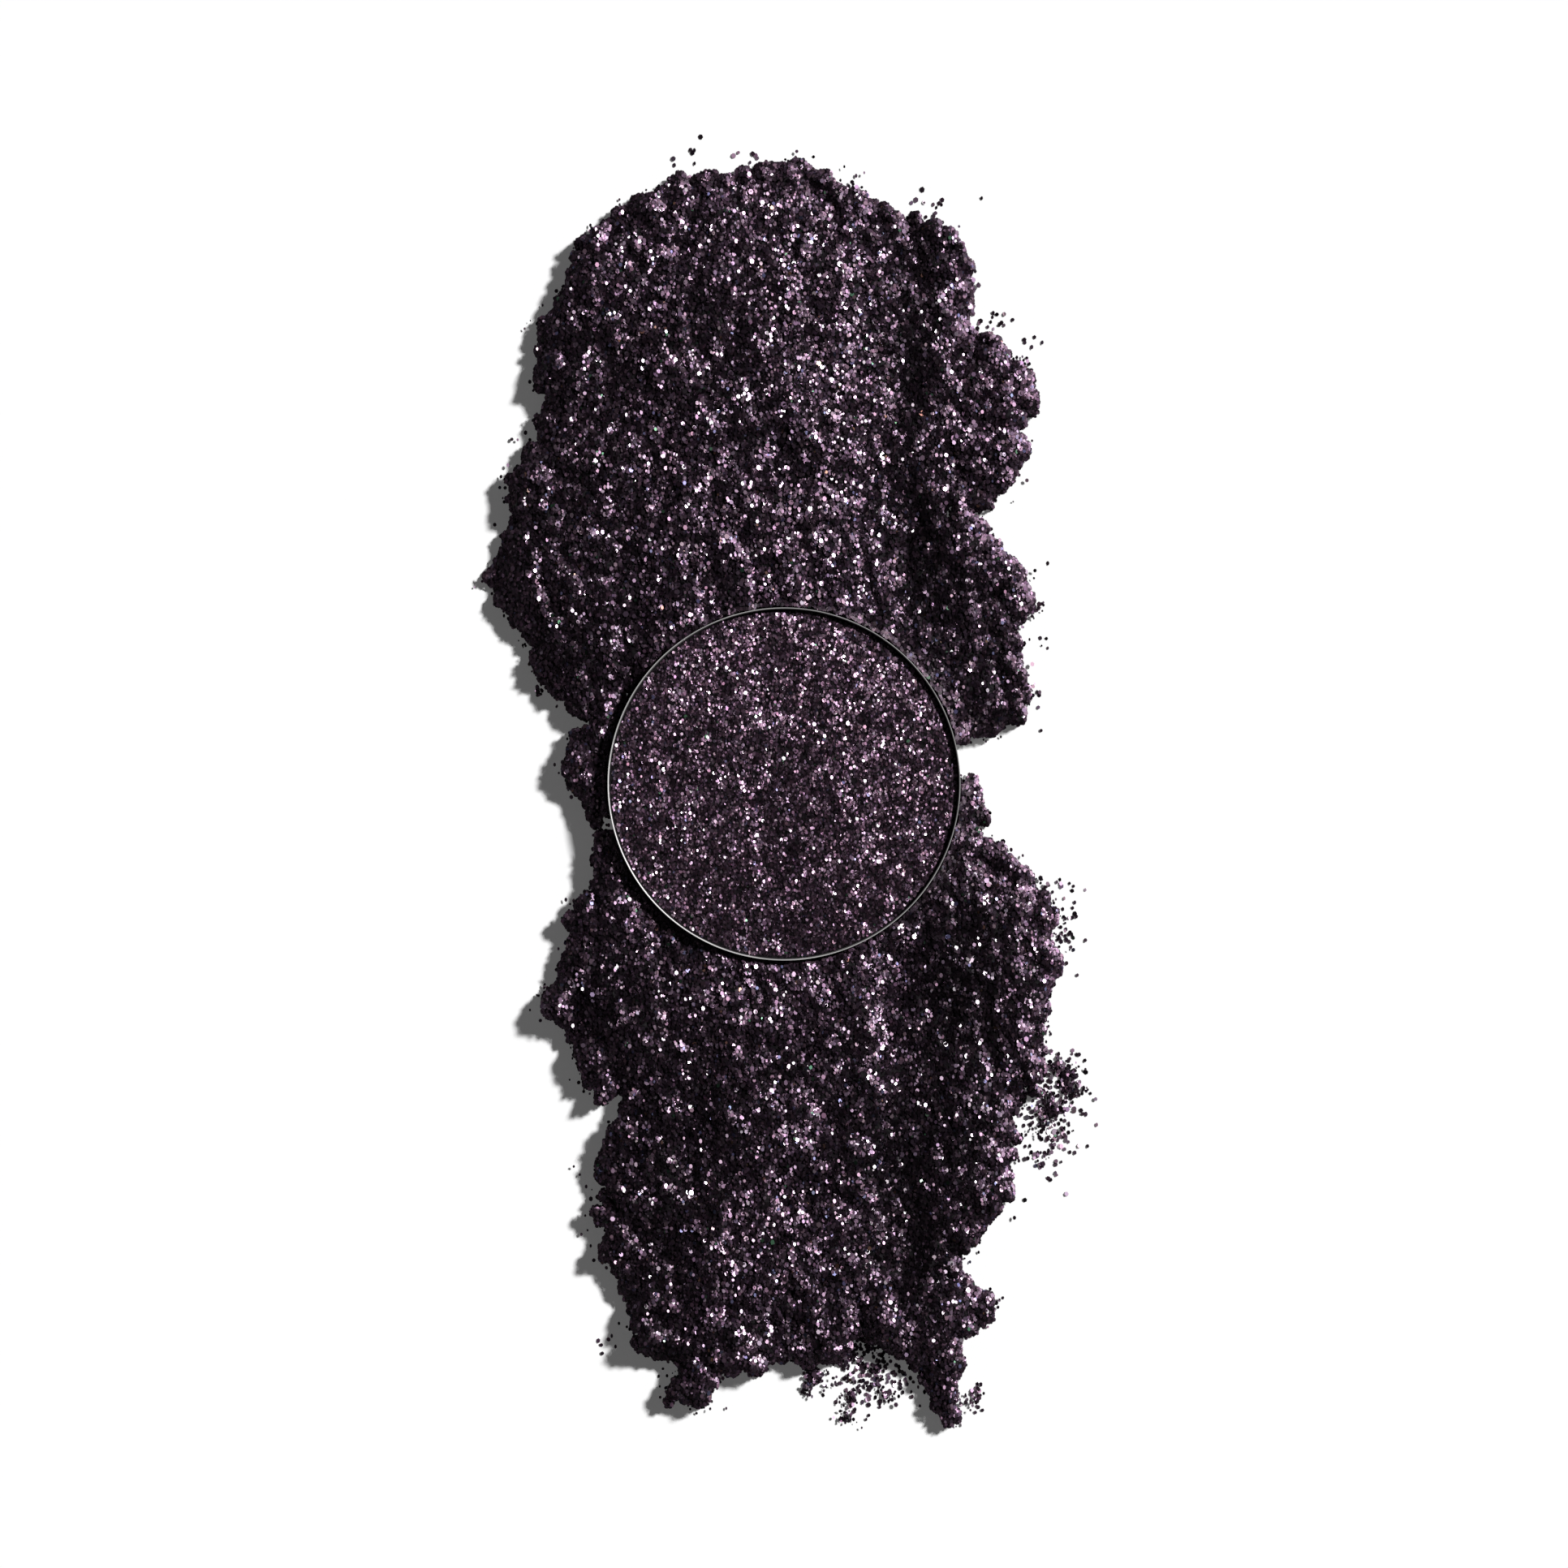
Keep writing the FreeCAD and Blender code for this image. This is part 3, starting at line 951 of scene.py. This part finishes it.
    def feet(self) -> np.ndarray:
        """The places along the heaps' feet, apart from the seat's edge."""
        solid = np.pad(self.height > 0, 1)
        inner = solid[1:-1, 1:-1]
        edge = inner & ~(solid[:-2, 1:-1] & solid[2:, 1:-1] & solid[1:-1, :-2] & solid[1:-1, 2:])
        edge &= self.radius > self.seat_radius + self.pitch
        return np.stack([self.x[edge], self.y[edge]], 1)


@dataclass
class RefillPan:
    """The tinplate cup and the cake pressed into it."""

    inside: float = PAN_RADIUS - 0.14 * MM
    bend: float = 0.6 * MM
    grain: float = 0.198 * MM
    grain_spread: float = 0.04 * MM
    least_grain: float = 0.12 * MM
    most_grain: float = 0.32 * MM
    flakes: int = 27000
    flake_pieces: int = 2
    gloss: float = 0.38
    gloss_spread: float = 0.08
    lie: Lie = Lie(9.5, 0.10, 24.0, patch_lean=5.0)
    propped: float = 0.3
    dip: float = 0.05 * MM
    dip_size: float = 2.2 * MM
    dome: float = 0.12 * MM
    mass_drop: float = 0.03 * MM
    levels: tuple[float, float] = (-0.03 * MM, 0.05 * MM)
    edge_share: float = 0.62
    slope_step: float = 0.1 * MM
    sweeps: tuple[Sweep, ...] = (Sweep(0.0, -9.0, 10.0, 6.0, 4.0), Sweep(3.0, 9.0, 9.0, 5.0, -2.0))
    steps: int = 160
    rings: int = 44
    shell_steps: int = 320
    sheet: float = 0.12 * MM
    land: float = 0.04 * MM
    lip: float = 0.065 * MM
    taper: float = 0.4 * MM
    bend_points: int = 7
    roll_points: int = 9
    roll_end: float = 165.0
    sharp_angle: float = 40.0
    seed: int = 5
    film: FilmFinish = FilmFinish("pressed_film")
    mass: MassFinish = MassFinish("pressed_mass")
    tin: TinFinish = TinFinish("drawn_tinplate")

    def shell_profile(self) -> np.ndarray:
        """The drawn cup's section, round the sheet from the middle of its underside to that of its inside.

        Returns:
            A radius and a height for each point.
        """
        radius, bottom, rim = PAN_RADIUS, *(corner.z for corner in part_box("pan_shell"))
        outer, inner = self.bend + self.sheet, self.bend
        bent = np.radians(np.linspace(0, 90, self.bend_points))
        turn_radius, turn_level = radius - outer, bottom + outer
        under = np.stack([turn_radius + outer * np.sin(bent), turn_level - outer * np.cos(bent)], 1)
        rolled = np.radians(np.linspace(90, self.roll_end, self.roll_points))
        middle = radius - self.land
        roll = np.stack([middle + self.lip * np.cos(rolled), rim - self.lip * (1 - np.sin(rolled))], 1)
        land, wall = [[radius, rim]], [[radius - self.sheet, rim - self.taper]]
        inside = np.stack([turn_radius + inner * np.sin(bent), turn_level - inner * np.cos(bent)], 1)
        ends = np.array([[0.0, bottom]]), np.array([[0.0, bottom + self.sheet]])
        return np.concatenate([ends[0], under, land, roll, wall, inside[::-1], ends[1]])

    def build_shell(self) -> bpy.types.Object:
        """Turn the drawn cup.

        Returns:
            The piece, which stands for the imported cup.
        """
        profile = self.shell_profile()
        turn = np.arange(self.shell_steps) * math.tau / self.shell_steps
        circle = np.stack([np.cos(turn), np.sin(turn)], 1)
        rows = [np.column_stack([circle * radius, np.full(self.shell_steps, level)])
                for radius, level in profile[1:-1]]
        verts = np.concatenate([*rows, [[0.0, 0.0, profile[0, 1]]], [[0.0, 0.0, profile[-1, 1]]]])
        here = np.arange(self.shell_steps)
        after = (here + 1) % self.shell_steps
        last = (len(rows) - 1) * self.shell_steps
        faces = np.stack([after, here, np.full_like(here, len(verts) - 2)], 1).tolist()
        for start in range(0, last, self.shell_steps):
            end = start + self.shell_steps
            faces += np.stack([start + here, start + after, end + after, end + here], 1).tolist()
        faces += np.stack([last + here, last + after, np.full_like(here, len(verts) - 1)], 1).tolist()
        mesh = bpy.data.meshes.new("drawn_shell")
        mesh.from_pydata(verts.tolist(), [], faces)
        mesh.polygons.foreach_set("use_smooth", np.ones(len(mesh.polygons), bool))
        mesh.set_sharp_from_angle(angle=math.radians(self.sharp_angle))
        mesh.materials.append(self.tin.material())
        return placed("drawn_shell", mesh)

    def face(self, x: np.ndarray, y: np.ndarray) -> np.ndarray:
        """The height of the cake's slightly domed and uneven face, from its highest level down."""
        dips = self.dip * (ripple(x, y, self.dip_size, self.dip_size, Layer.CAKE.value) - 1.0)
        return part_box("pressed_cake")[1].z + dips - self.dome * (x**2 + y**2) / self.inside**2

    def build_mass(self) -> bpy.types.Object:
        """Build the pressed mass as a turned body with an uneven face.

        Returns:
            The piece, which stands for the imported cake.
        """
        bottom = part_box("pressed_cake")[0].z
        turn = np.arange(self.steps) * math.tau / self.steps
        circle = np.stack([np.cos(turn), np.sin(turn)], 1)
        radii = np.linspace(0, self.inside, self.rings + 1)[1:]
        flat = np.concatenate([[[0.0, 0.0]], *(circle * radius for radius in radii)])
        top = np.column_stack([flat, self.face(flat[:, 0], flat[:, 1]) - self.mass_drop])
        side = np.column_stack([circle * self.inside, np.full(self.steps, bottom + self.bend)])
        foot = np.column_stack([circle * (self.inside - self.bend), np.full(self.steps, bottom)])
        verts = np.concatenate([top, side, foot, [[0.0, 0.0, bottom]]])
        here = np.arange(self.steps)
        after = (here + 1) % self.steps
        faces = np.stack([np.zeros_like(here), 1 + here, 1 + after], 1).tolist()
        last = 1 + (self.rings + 1) * self.steps
        for start in range(1, last, self.steps):
            end = start + self.steps
            faces += np.stack([start + here, end + here, end + after, start + after], 1).tolist()
        faces += np.stack([last + after, last + here, np.full_like(here, len(verts) - 1)], 1).tolist()
        mesh = bpy.data.meshes.new("pressed_mass")
        mesh.from_pydata(verts.tolist(), [], faces)
        mesh.materials.append(self.mass.material())
        return placed("pressed_mass", mesh)

    def build_flakes(self) -> list[bpy.types.Object]:
        """Build the face's flakes, pressed nearly flat.

        Returns:
            The pieces that they are shared out to.
        """
        rng = np.random.default_rng(self.seed)
        count = self.flakes
        across = np.clip(rng.normal(self.grain, self.grain_spread, count), self.least_grain, self.most_grain)
        radius = np.sqrt(rng.uniform(0, 1, count)) * (self.inside - across * self.edge_share)
        turn = rng.uniform(0, math.tau, count)
        x, y = radius * np.cos(turn), radius * np.sin(turn)
        step = self.slope_step
        level = self.face(x, y)
        slope_x = (self.face(x + step, y) - level) / step
        slope_y = (self.face(x, y + step) - level) / step
        normals = np.stack([-slope_x, -slope_y, np.ones(count)], 1)
        normals /= np.linalg.norm(normals, axis=1, keepdims=True)
        centres = np.stack([x, y, level + rng.uniform(*self.levels, count)], 1)
        leaning = self.lie.tilt(centres, dragged(self.sweeps, centres, normals), rng)
        centres[:, 2] += self.propped * across * np.hypot(leaning[:, 0], leaning[:, 1])
        rough = np.clip(rng.normal(self.gloss, self.gloss_spread, count), *GLOSS_RANGE)
        tints = PRESSED_TINTS.draw(count, rng)
        finish = self.film.material()
        pieces = []
        for share, part in enumerate(np.array_split(np.arange(count), self.flake_pieces), 1):
            label = f"pressed_flakes_{share}"
            cloud = FlakeCloud(label, centres[part], leaning[part], across[part], tints[part], rough[part])
            pieces.append(cloud.build(cloud.corners(rng), finish))
        return pieces

    def build(self) -> None:
        """Build and place the pan's pieces."""
        shell = self.build_shell()
        settle(shell, Body.PAN)
        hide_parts("pan_shell")
        mass = self.build_mass()
        for piece in (mass, *self.build_flakes()):
            settle(piece, Body.PAN)
        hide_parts("pressed_cake")


@dataclass
class CrushedSpread:
    """The crushed glitter that the pan lies in."""

    surface: SpreadSurface = field(default_factory=SpreadSurface)
    sink: float = 0.14 * MM
    clear_radius: float = PAN_RADIUS + 0.04 * MM
    clear_gap: float = 0.03 * MM
    grain: float = 0.225 * MM
    grain_spread: float = 0.055 * MM
    least_grain: float = 0.12 * MM
    most_grain: float = 0.4 * MM
    density: float = 38.0 / MM**2
    gloss: float = 0.38
    gloss_spread: float = 0.08
    lie: Lie = Lie(10.5, 0.13, 24.0, patch_lean=9.5)
    loft: float = 0.15 * MM
    propped: float = 0.42
    underside: float = 0.01 * MM
    face_share: float = 0.6
    foot_flakes: float = 3.4
    foot_reach: float = 0.45 * MM
    foot_levels: tuple[float, float] = (0.05 * MM, 0.35 * MM)
    tuft: float = 0.8 * MM
    tuft_middle: float = 0.4
    tuft_gain: float = 1.6
    tuft_range: tuple[float, float] = (0.1, 2.0)
    under_margin: float = 0.3 * MM
    floor_gap: float = 0.004 * MM
    most_in_piece: int = 19500
    sweeps: tuple[Sweep, ...] = (
        Sweep(-16.5, 19.0, 4.5, 11.0, 8.0, 0.3),
        Sweep(-14.5, 9.0, 3.0, 3.5, 6.0, 0.4),
        Sweep(9.3, 32.0, 2.2, 11.0, 10.0, 0.5),
        Sweep(11.0, 14.0, 3.0, 6.0, 10.0, 0.5),
        Sweep(6.0, 18.5, 2.0, 5.0, 6.0),
        Sweep(15.5, 9.0, 2.5, 5.0, 8.0, 0.25),
        Sweep(13.5, 24.0, 3.0, 2.5, -13.0),
        Sweep(-5.5, 24.0, 2.0, 2.2, -8.0),
        Sweep(4.5, 30.5, 2.5, 4.5, -6.0),
        Sweep(12.5, -15.0, 3.0, 9.5, 11.0, 0.6),
        Sweep(15.5, -13.0, 2.5, 6.0, 8.0, 0.45),
        Sweep(9.5, -30.0, 3.0, 8.0, 11.0, 0.5),
        Sweep(14.0, -27.0, 2.5, 5.0, 5.0, 0.3),
        Sweep(11.5, -36.0, 2.5, 3.0, 12.0, 0.55),
        Sweep(6.0, -23.0, 2.0, 5.0, 8.0, 0.35),
        Sweep(-12.5, -16.0, 3.5, 4.5, 10.0, 0.5),
        Sweep(-9.0, -13.0, 2.0, 3.0, 6.0),
        Sweep(-9.5, -31.0, 3.0, 11.0, 10.0, 0.5),
        Sweep(-5.5, -25.5, 2.2, 5.5, 8.0, 0.35),
        Sweep(-3.0, -24.0, 1.5, 3.0, 5.0, 0.2),
        Sweep(0.5, -27.5, 1.8, 4.0, -7.0),
        Sweep(-0.5, -36.0, 3.6, 1.8, -10.0),
        Sweep(0.0, -21.0, 3.0, 1.5, 4.0, 0.3),
        Sweep(0.5, -39.5, 3.0, 1.5, 6.0, 0.3),
        Sweep(-12.0, 16.5, 2.0, 2.5, 5.0, 0.2),
        Sweep(-6.0, -17.0, 1.8, 2.6, -12.0),
        Sweep(3.0, -15.0, 2.2, 1.6, -8.0),
        Sweep(-9.0, -42.0, 2.0, 1.6, 9.0, 0.5),
        Sweep(-6.0, 36.0, 1.8, 2.0, 6.0, 0.2),
        Sweep(-3.0, 31.0, 1.8, 3.0, 5.0, 0.15),
        Sweep(-15.0, 33.0, 1.8, 2.0, 5.0, 0.3),
        Sweep(5.0, 40.5, 3.0, 2.0, 5.0, 0.15),
        Sweep(9.5, 19.5, 1.8, 3.0, 6.0, 0.3),
        Sweep(12.5, 36.0, 1.6, 1.8, -9.0),
        Sweep(-3.0, 14.5, 1.8, 2.2, -6.0),
        Sweep(-9.0, 30.0, 1.8, 4.5, -4.0),
        Sweep(4.5, -27.0, 2.2, 2.0, 6.0, 0.2),
        Sweep(6.0, -35.0, 1.8, 3.0, 7.0, 0.25),
        Sweep(-6.0, -39.3, 1.6, 1.4, -7.0),
        Sweep(6.0, -39.5, 1.6, 1.5, -7.0),
        Sweep(9.0, -42.0, 1.6, 1.4, -8.0),
        Sweep(3.0, 15.0, 1.6, 1.6, -6.0),
        Sweep(15.0, -24.0, 1.8, 2.0, 8.0, 0.4),
    )
    seed: int = 11
    film: FilmFinish = FilmFinish("crushed_film")
    mass: MassFinish = MassFinish("crushed_mass")

    def scatter(self, mesh: bpy.types.Mesh, rng: np.random.Generator) -> tuple[np.ndarray, np.ndarray]:
        """Draw places on the mass's top and sides.

        Args:
            mesh: The mass.
            rng: The source of chance.

        Returns:
            The places and the surface's normal at each.
        """
        mesh.calc_loop_triangles()
        corners = np.empty(len(mesh.loop_triangles) * 3, np.int32)
        mesh.loop_triangles.foreach_get("vertices", corners)
        places = np.empty(len(mesh.vertices) * 3, np.float32)
        mesh.vertices.foreach_get("co", places)
        bends = np.empty(len(mesh.vertices) * 3, np.float32)
        mesh.vertices.foreach_get("normal", bends)
        corners, places, bends = corners.reshape(-1, 3), places.reshape(-1, 3), bends.reshape(-1, 3)
        p = places[corners]
        cross = np.cross(p[:, 1] - p[:, 0], p[:, 2] - p[:, 0])
        area = np.linalg.norm(cross, axis=1) / 2
        area[p[:, :, 2].max(1) < self.underside] = 0
        count = int(area.sum() * self.density)
        picked = rng.choice(len(area), count, p=area / area.sum())
        u, v = rng.uniform(0, 1, (2, count))
        flip = u + v > 1
        u[flip], v[flip] = 1 - u[flip], 1 - v[flip]
        weight = np.stack([1 - u - v, u, v], 1)[..., None]
        own = cross[picked] / np.maximum(2 * area[picked, None], 1e-12)
        normal = (bends[corners[picked]] * weight).sum(1) + self.face_share * own
        normal /= np.maximum(np.linalg.norm(normal, axis=1, keepdims=True), TINY)
        return (p[picked] * weight).sum(1), normal

    def fringe(self, rng: np.random.Generator) -> tuple[np.ndarray, np.ndarray]:
        """Draw places for flakes that slid off the heaps' feet.

        Args:
            rng: The source of chance.

        Returns:
            The places and upright normals.
        """
        feet = self.surface.feet()
        count = int(len(feet) * self.foot_flakes)
        foot = feet[rng.choice(len(feet), count)]
        chance = ripple(foot[:, 0], foot[:, 1], self.tuft, self.tuft, Layer.TUFTS.value)
        tufts = np.clip(self.tuft_middle + self.tuft_gain * chance, *self.tuft_range)
        reach = np.abs(rng.normal(0, self.foot_reach, count)) * tufts + self.foot_levels[0]
        turn = rng.uniform(0, math.tau, count)
        flat = foot + np.stack([np.cos(turn), np.sin(turn)], 1) * reach[:, None]
        level = rng.uniform(*self.foot_levels, count)
        return np.column_stack([flat, level]), np.tile([0.0, 0.0, 1.0], (count, 1))

    def keep_clear(self, points: np.ndarray) -> np.ndarray:
        """Push flakes out of the pan's way and up off the floor.

        Args:
            points: For each flake, its corners and the point below.

        Returns:
            The moved points.
        """
        radius = np.hypot(points[..., 0], points[..., 1])
        under = radius.max(1) < PAN_RADIUS - self.under_margin
        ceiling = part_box("pan_shell")[0].z - self.clear_gap
        beside = (points[..., 2].max(1) > ceiling) & ~under
        short = np.where(beside, np.maximum(self.clear_radius - radius.min(1), 0), 0)
        middle = points[:, :, :2].mean(1)
        out = middle / np.maximum(np.linalg.norm(middle, axis=1, keepdims=True), TINY)
        moved = points.copy()
        moved[..., :2] += (out * short[:, None])[:, None]
        high = np.where(under, np.maximum(moved[..., 2].max(1) - ceiling, 0), 0)
        moved[..., 2] -= high[:, None]
        low = np.maximum(self.floor_gap - moved[..., 2].min(1), 0)
        moved[..., 2] += low[:, None]
        return moved

    def build(self) -> None:
        """Build and place the spread's pieces."""
        rng = np.random.default_rng(self.seed)
        mesh = self.surface.mesh("crushed_mass", self.sink)
        mesh.materials.append(self.mass.material())
        mass = placed("crushed_mass", mesh)
        settle(mass, Body.SPREAD)
        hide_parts("pan_bed", *HEAPS)
        places, normals = map(np.concatenate, zip(self.scatter(mesh, rng), self.fringe(rng)))
        count = len(places)
        leaning = self.lie.tilt(places, dragged(self.sweeps, places, normals), rng)
        across = np.clip(rng.normal(self.grain, self.grain_spread, count), self.least_grain, self.most_grain)
        slant = np.sqrt(np.clip(1 - (leaning * normals).sum(1) ** 2, 0, 1))
        lift = rng.uniform(0.0, self.loft, count) + self.propped * across * slant
        places = places + normals * lift[:, None]
        # painted shade: flakes in the sweeps' patches get a darker tint
        tints = paint_sweep_shade(self.sweeps, places, CRUSHED_TINTS.draw(count, rng))
        rough = np.clip(rng.normal(self.gloss, self.gloss_spread, count), *GLOSS_RANGE)
        group = self.surface.owners(places)
        finish = self.film.material()
        for number, name in enumerate((*HEAPS, "pan_bed")):
            mine = np.nonzero(group == number)[0]
            shares = np.array_split(mine, math.ceil(len(mine) / self.most_in_piece))
            for share, part in enumerate(shares, 1):
                label = f"{name}_flakes" + (f"_{share}" if len(shares) > 1 else "")
                cloud = FlakeCloud(label, places[part], leaning[part], across[part], tints[part], rough[part])
                piece = cloud.build(self.keep_clear(cloud.corners(rng)), finish)
                settle(piece, Body.SPREAD)


class Spray(NamedTuple):
    """Flakes that fell together beside the spread: a middle and a spread in millimetres, and a count."""

    x: float
    y: float
    spread_x: float
    spread_y: float
    count: int


@dataclass
class StrayFlakes:
    """Single flakes that lie beside the spread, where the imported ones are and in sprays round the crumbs."""

    seed: int = 23
    across: float = 0.29 * MM
    across_spread: float = 0.04 * MM
    level: float = 0.05 * MM
    level_spread: float = 0.06 * MM
    floor_gap: float = 0.004 * MM
    one_flake: float = 0.6 * MM
    gloss: float = 0.4
    gloss_spread: float = 0.08
    lie: Lie = Lie(8.0, 0.2, 24.0)
    film: FilmFinish = FilmFinish("stray_film")
    sprays: tuple[Spray, ...] = (
        Spray(19.7, -24.2, 1.1, 2.2, 240),
        Spray(20.8, -21.8, 0.7, 1.2, 40),
        Spray(20.9, -10.8, 0.5, 1.2, 36),
        Spray(21.0, -7.5, 0.5, 0.4, 8),
        Spray(6.4, -44.2, 1.0, 1.1, 120),
        Spray(9.2, -43.6, 0.8, 0.7, 40),
        Spray(6.2, -41.8, 1.1, 0.6, 70),
        Spray(14.3, -45.6, 0.3, 0.6, 22),
        Spray(-13.2, -41.8, 0.5, 0.9, 4),
        Spray(-6.6, 46.6, 0.8, 0.4, 6),
        Spray(-2.0, 46.7, 0.7, 0.3, 7),
        Spray(11.0, 43.0, 1.3, 0.5, 14),
        Spray(15.6, 34.3, 1.0, 0.5, 12),
        Spray(18.3, 32.2, 0.5, 0.8, 7),
        Spray(19.1, 11.0, 0.4, 3.0, 8),
    )

    def packed_places(self) -> np.ndarray:
        """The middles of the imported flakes, one for each separate solid."""
        spots: list[list[Vector]] = []
        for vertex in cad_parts["loose_flakes"].data.vertices:
            near = [group for group in spots if (vertex.co - group[0]).length < self.one_flake]
            if near:
                near[0].append(vertex.co)
            else:
                spots.append([vertex.co])
        return np.array([(sum(group, Vector()) / len(group))[:2] for group in spots])

    def build(self) -> None:
        """Build and place the stray flakes."""
        rng = np.random.default_rng(self.seed)
        groups = [self.packed_places()]
        for spray in self.sprays:
            scatter = rng.normal(0.0, 1.0, (spray.count, 2)) * (spray.spread_x, spray.spread_y)
            groups.append((scatter + (spray.x, spray.y)) * MM)
        flat = np.concatenate(groups)
        count = len(flat)
        centres = np.column_stack([flat, self.level + rng.uniform(0, self.level_spread, count)])
        normals = self.lie.tilt(centres, np.tile([0.0, 0.0, 1.0], (count, 1)), rng)
        across = rng.normal(self.across, self.across_spread, count)
        rough = np.clip(rng.normal(self.gloss, self.gloss_spread, count), *GLOSS_RANGE)
        cloud = FlakeCloud("stray_flakes", centres, normals, across, CRUSHED_TINTS.draw(count, rng), rough)
        points = cloud.corners(rng)
        points[..., 2] += np.maximum(self.floor_gap - points[..., 2].min(1), 0)[:, None]
        piece = cloud.build(points, self.film.material())
        settle(piece, Body.SPREAD)
        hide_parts("loose_flakes")


@dataclass
class Studio:
    """A white board, one hard light from the upper right, weak fill and a camera straight above."""

    frame_width: float = 115.5 * MM
    distance: float = 0.46
    sensor: float = 36.0
    clip: tuple[float, float] = (0.01, 20.0)
    sun_bearing: float = 32.0
    sun_height: float = 47.0
    sun_strength: float = 3.94
    sun_angle: float = 6.5
    zenith: float = 0.02
    horizon: float = 0.24
    horizon_band: float = 0.12
    board_size: float = 3.0
    board_level: float = -0.02 * MM

    def build_board(self) -> None:
        """Lay the board."""
        size, level = self.board_size, self.board_level
        corners = [(-size, -size, level), (size, -size, level), (size, size, level), (-size, size, level)]
        mesh = bpy.data.meshes.new("board")
        mesh.from_pydata(corners, [], [(0, 1, 2, 3)])
        mesh.materials.append(BoardFinish("board").material())
        placed("board", mesh)

    def build_light(self) -> None:
        """Hang the key light."""
        lamp = bpy.data.lights.new("key", "SUN")
        lamp.energy = self.sun_strength
        lamp.angle = math.radians(self.sun_angle)
        key = bpy.data.objects.new("key", lamp)
        bearing, height = math.radians(self.sun_bearing), math.radians(self.sun_height)
        flat = math.cos(height)
        towards = Vector((flat * math.cos(bearing), flat * math.sin(bearing), math.sin(height)))
        key.rotation_euler = towards.to_track_quat("Z", "Y").to_euler()
        bpy.context.scene.collection.objects.link(key)

    def build_fill(self) -> None:
        """Make a dark room with a low band of light all round."""
        world = bpy.data.worlds.new("fill")
        world.use_nodes = True
        nodes, links = world.node_tree.nodes, world.node_tree.links
        place = nodes.new("ShaderNodeTexCoord")
        split = nodes.new("ShaderNodeSeparateXYZ")
        fade = nodes.new("ShaderNodeMapRange")
        fade.inputs["From Max"].default_value = self.horizon_band
        fade.inputs["To Min"].default_value = self.horizon
        fade.inputs["To Max"].default_value = self.zenith
        links.new(place.outputs["Generated"], split.inputs["Vector"])
        links.new(split.outputs["Z"], fade.inputs["Value"])
        backdrop = nodes["Background"]
        backdrop.inputs["Color"].default_value = (1.0, 1.0, 1.0, 1.0)
        links.new(fade.outputs["Result"], backdrop.inputs["Strength"])
        bpy.context.scene.world = world

    def build_camera(self) -> None:
        """Set the camera straight above the pan's axis, with +Y up in the picture."""
        camera = bpy.data.cameras.new("camera")
        camera.sensor_width = self.sensor
        camera.lens = self.sensor * (self.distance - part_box("pan_shell")[1].z) / self.frame_width
        camera.clip_start, camera.clip_end = self.clip
        holder = bpy.data.objects.new("camera", camera)
        holder.location = (0.0, 0.0, self.distance)
        bpy.context.scene.collection.objects.link(holder)
        bpy.context.scene.camera = holder

    def build(self) -> None:
        """Build the stage."""
        self.build_board()
        self.build_light()
        self.build_fill()
        self.build_camera()
        bpy.context.scene.view_settings.view_transform = "Standard"


def main() -> None:
    """Build every piece in order, the same each run: without a seed, noise vectors follow the clock."""
    logging.basicConfig(level=logging.INFO, format="%(name)s %(message)s")
    noise.seed_set(NOISE_SEED)
    Studio().build()
    RefillPan().build()
    CrushedSpread().build()
    StrayFlakes().build()


if __name__ == "__main__":
    main()
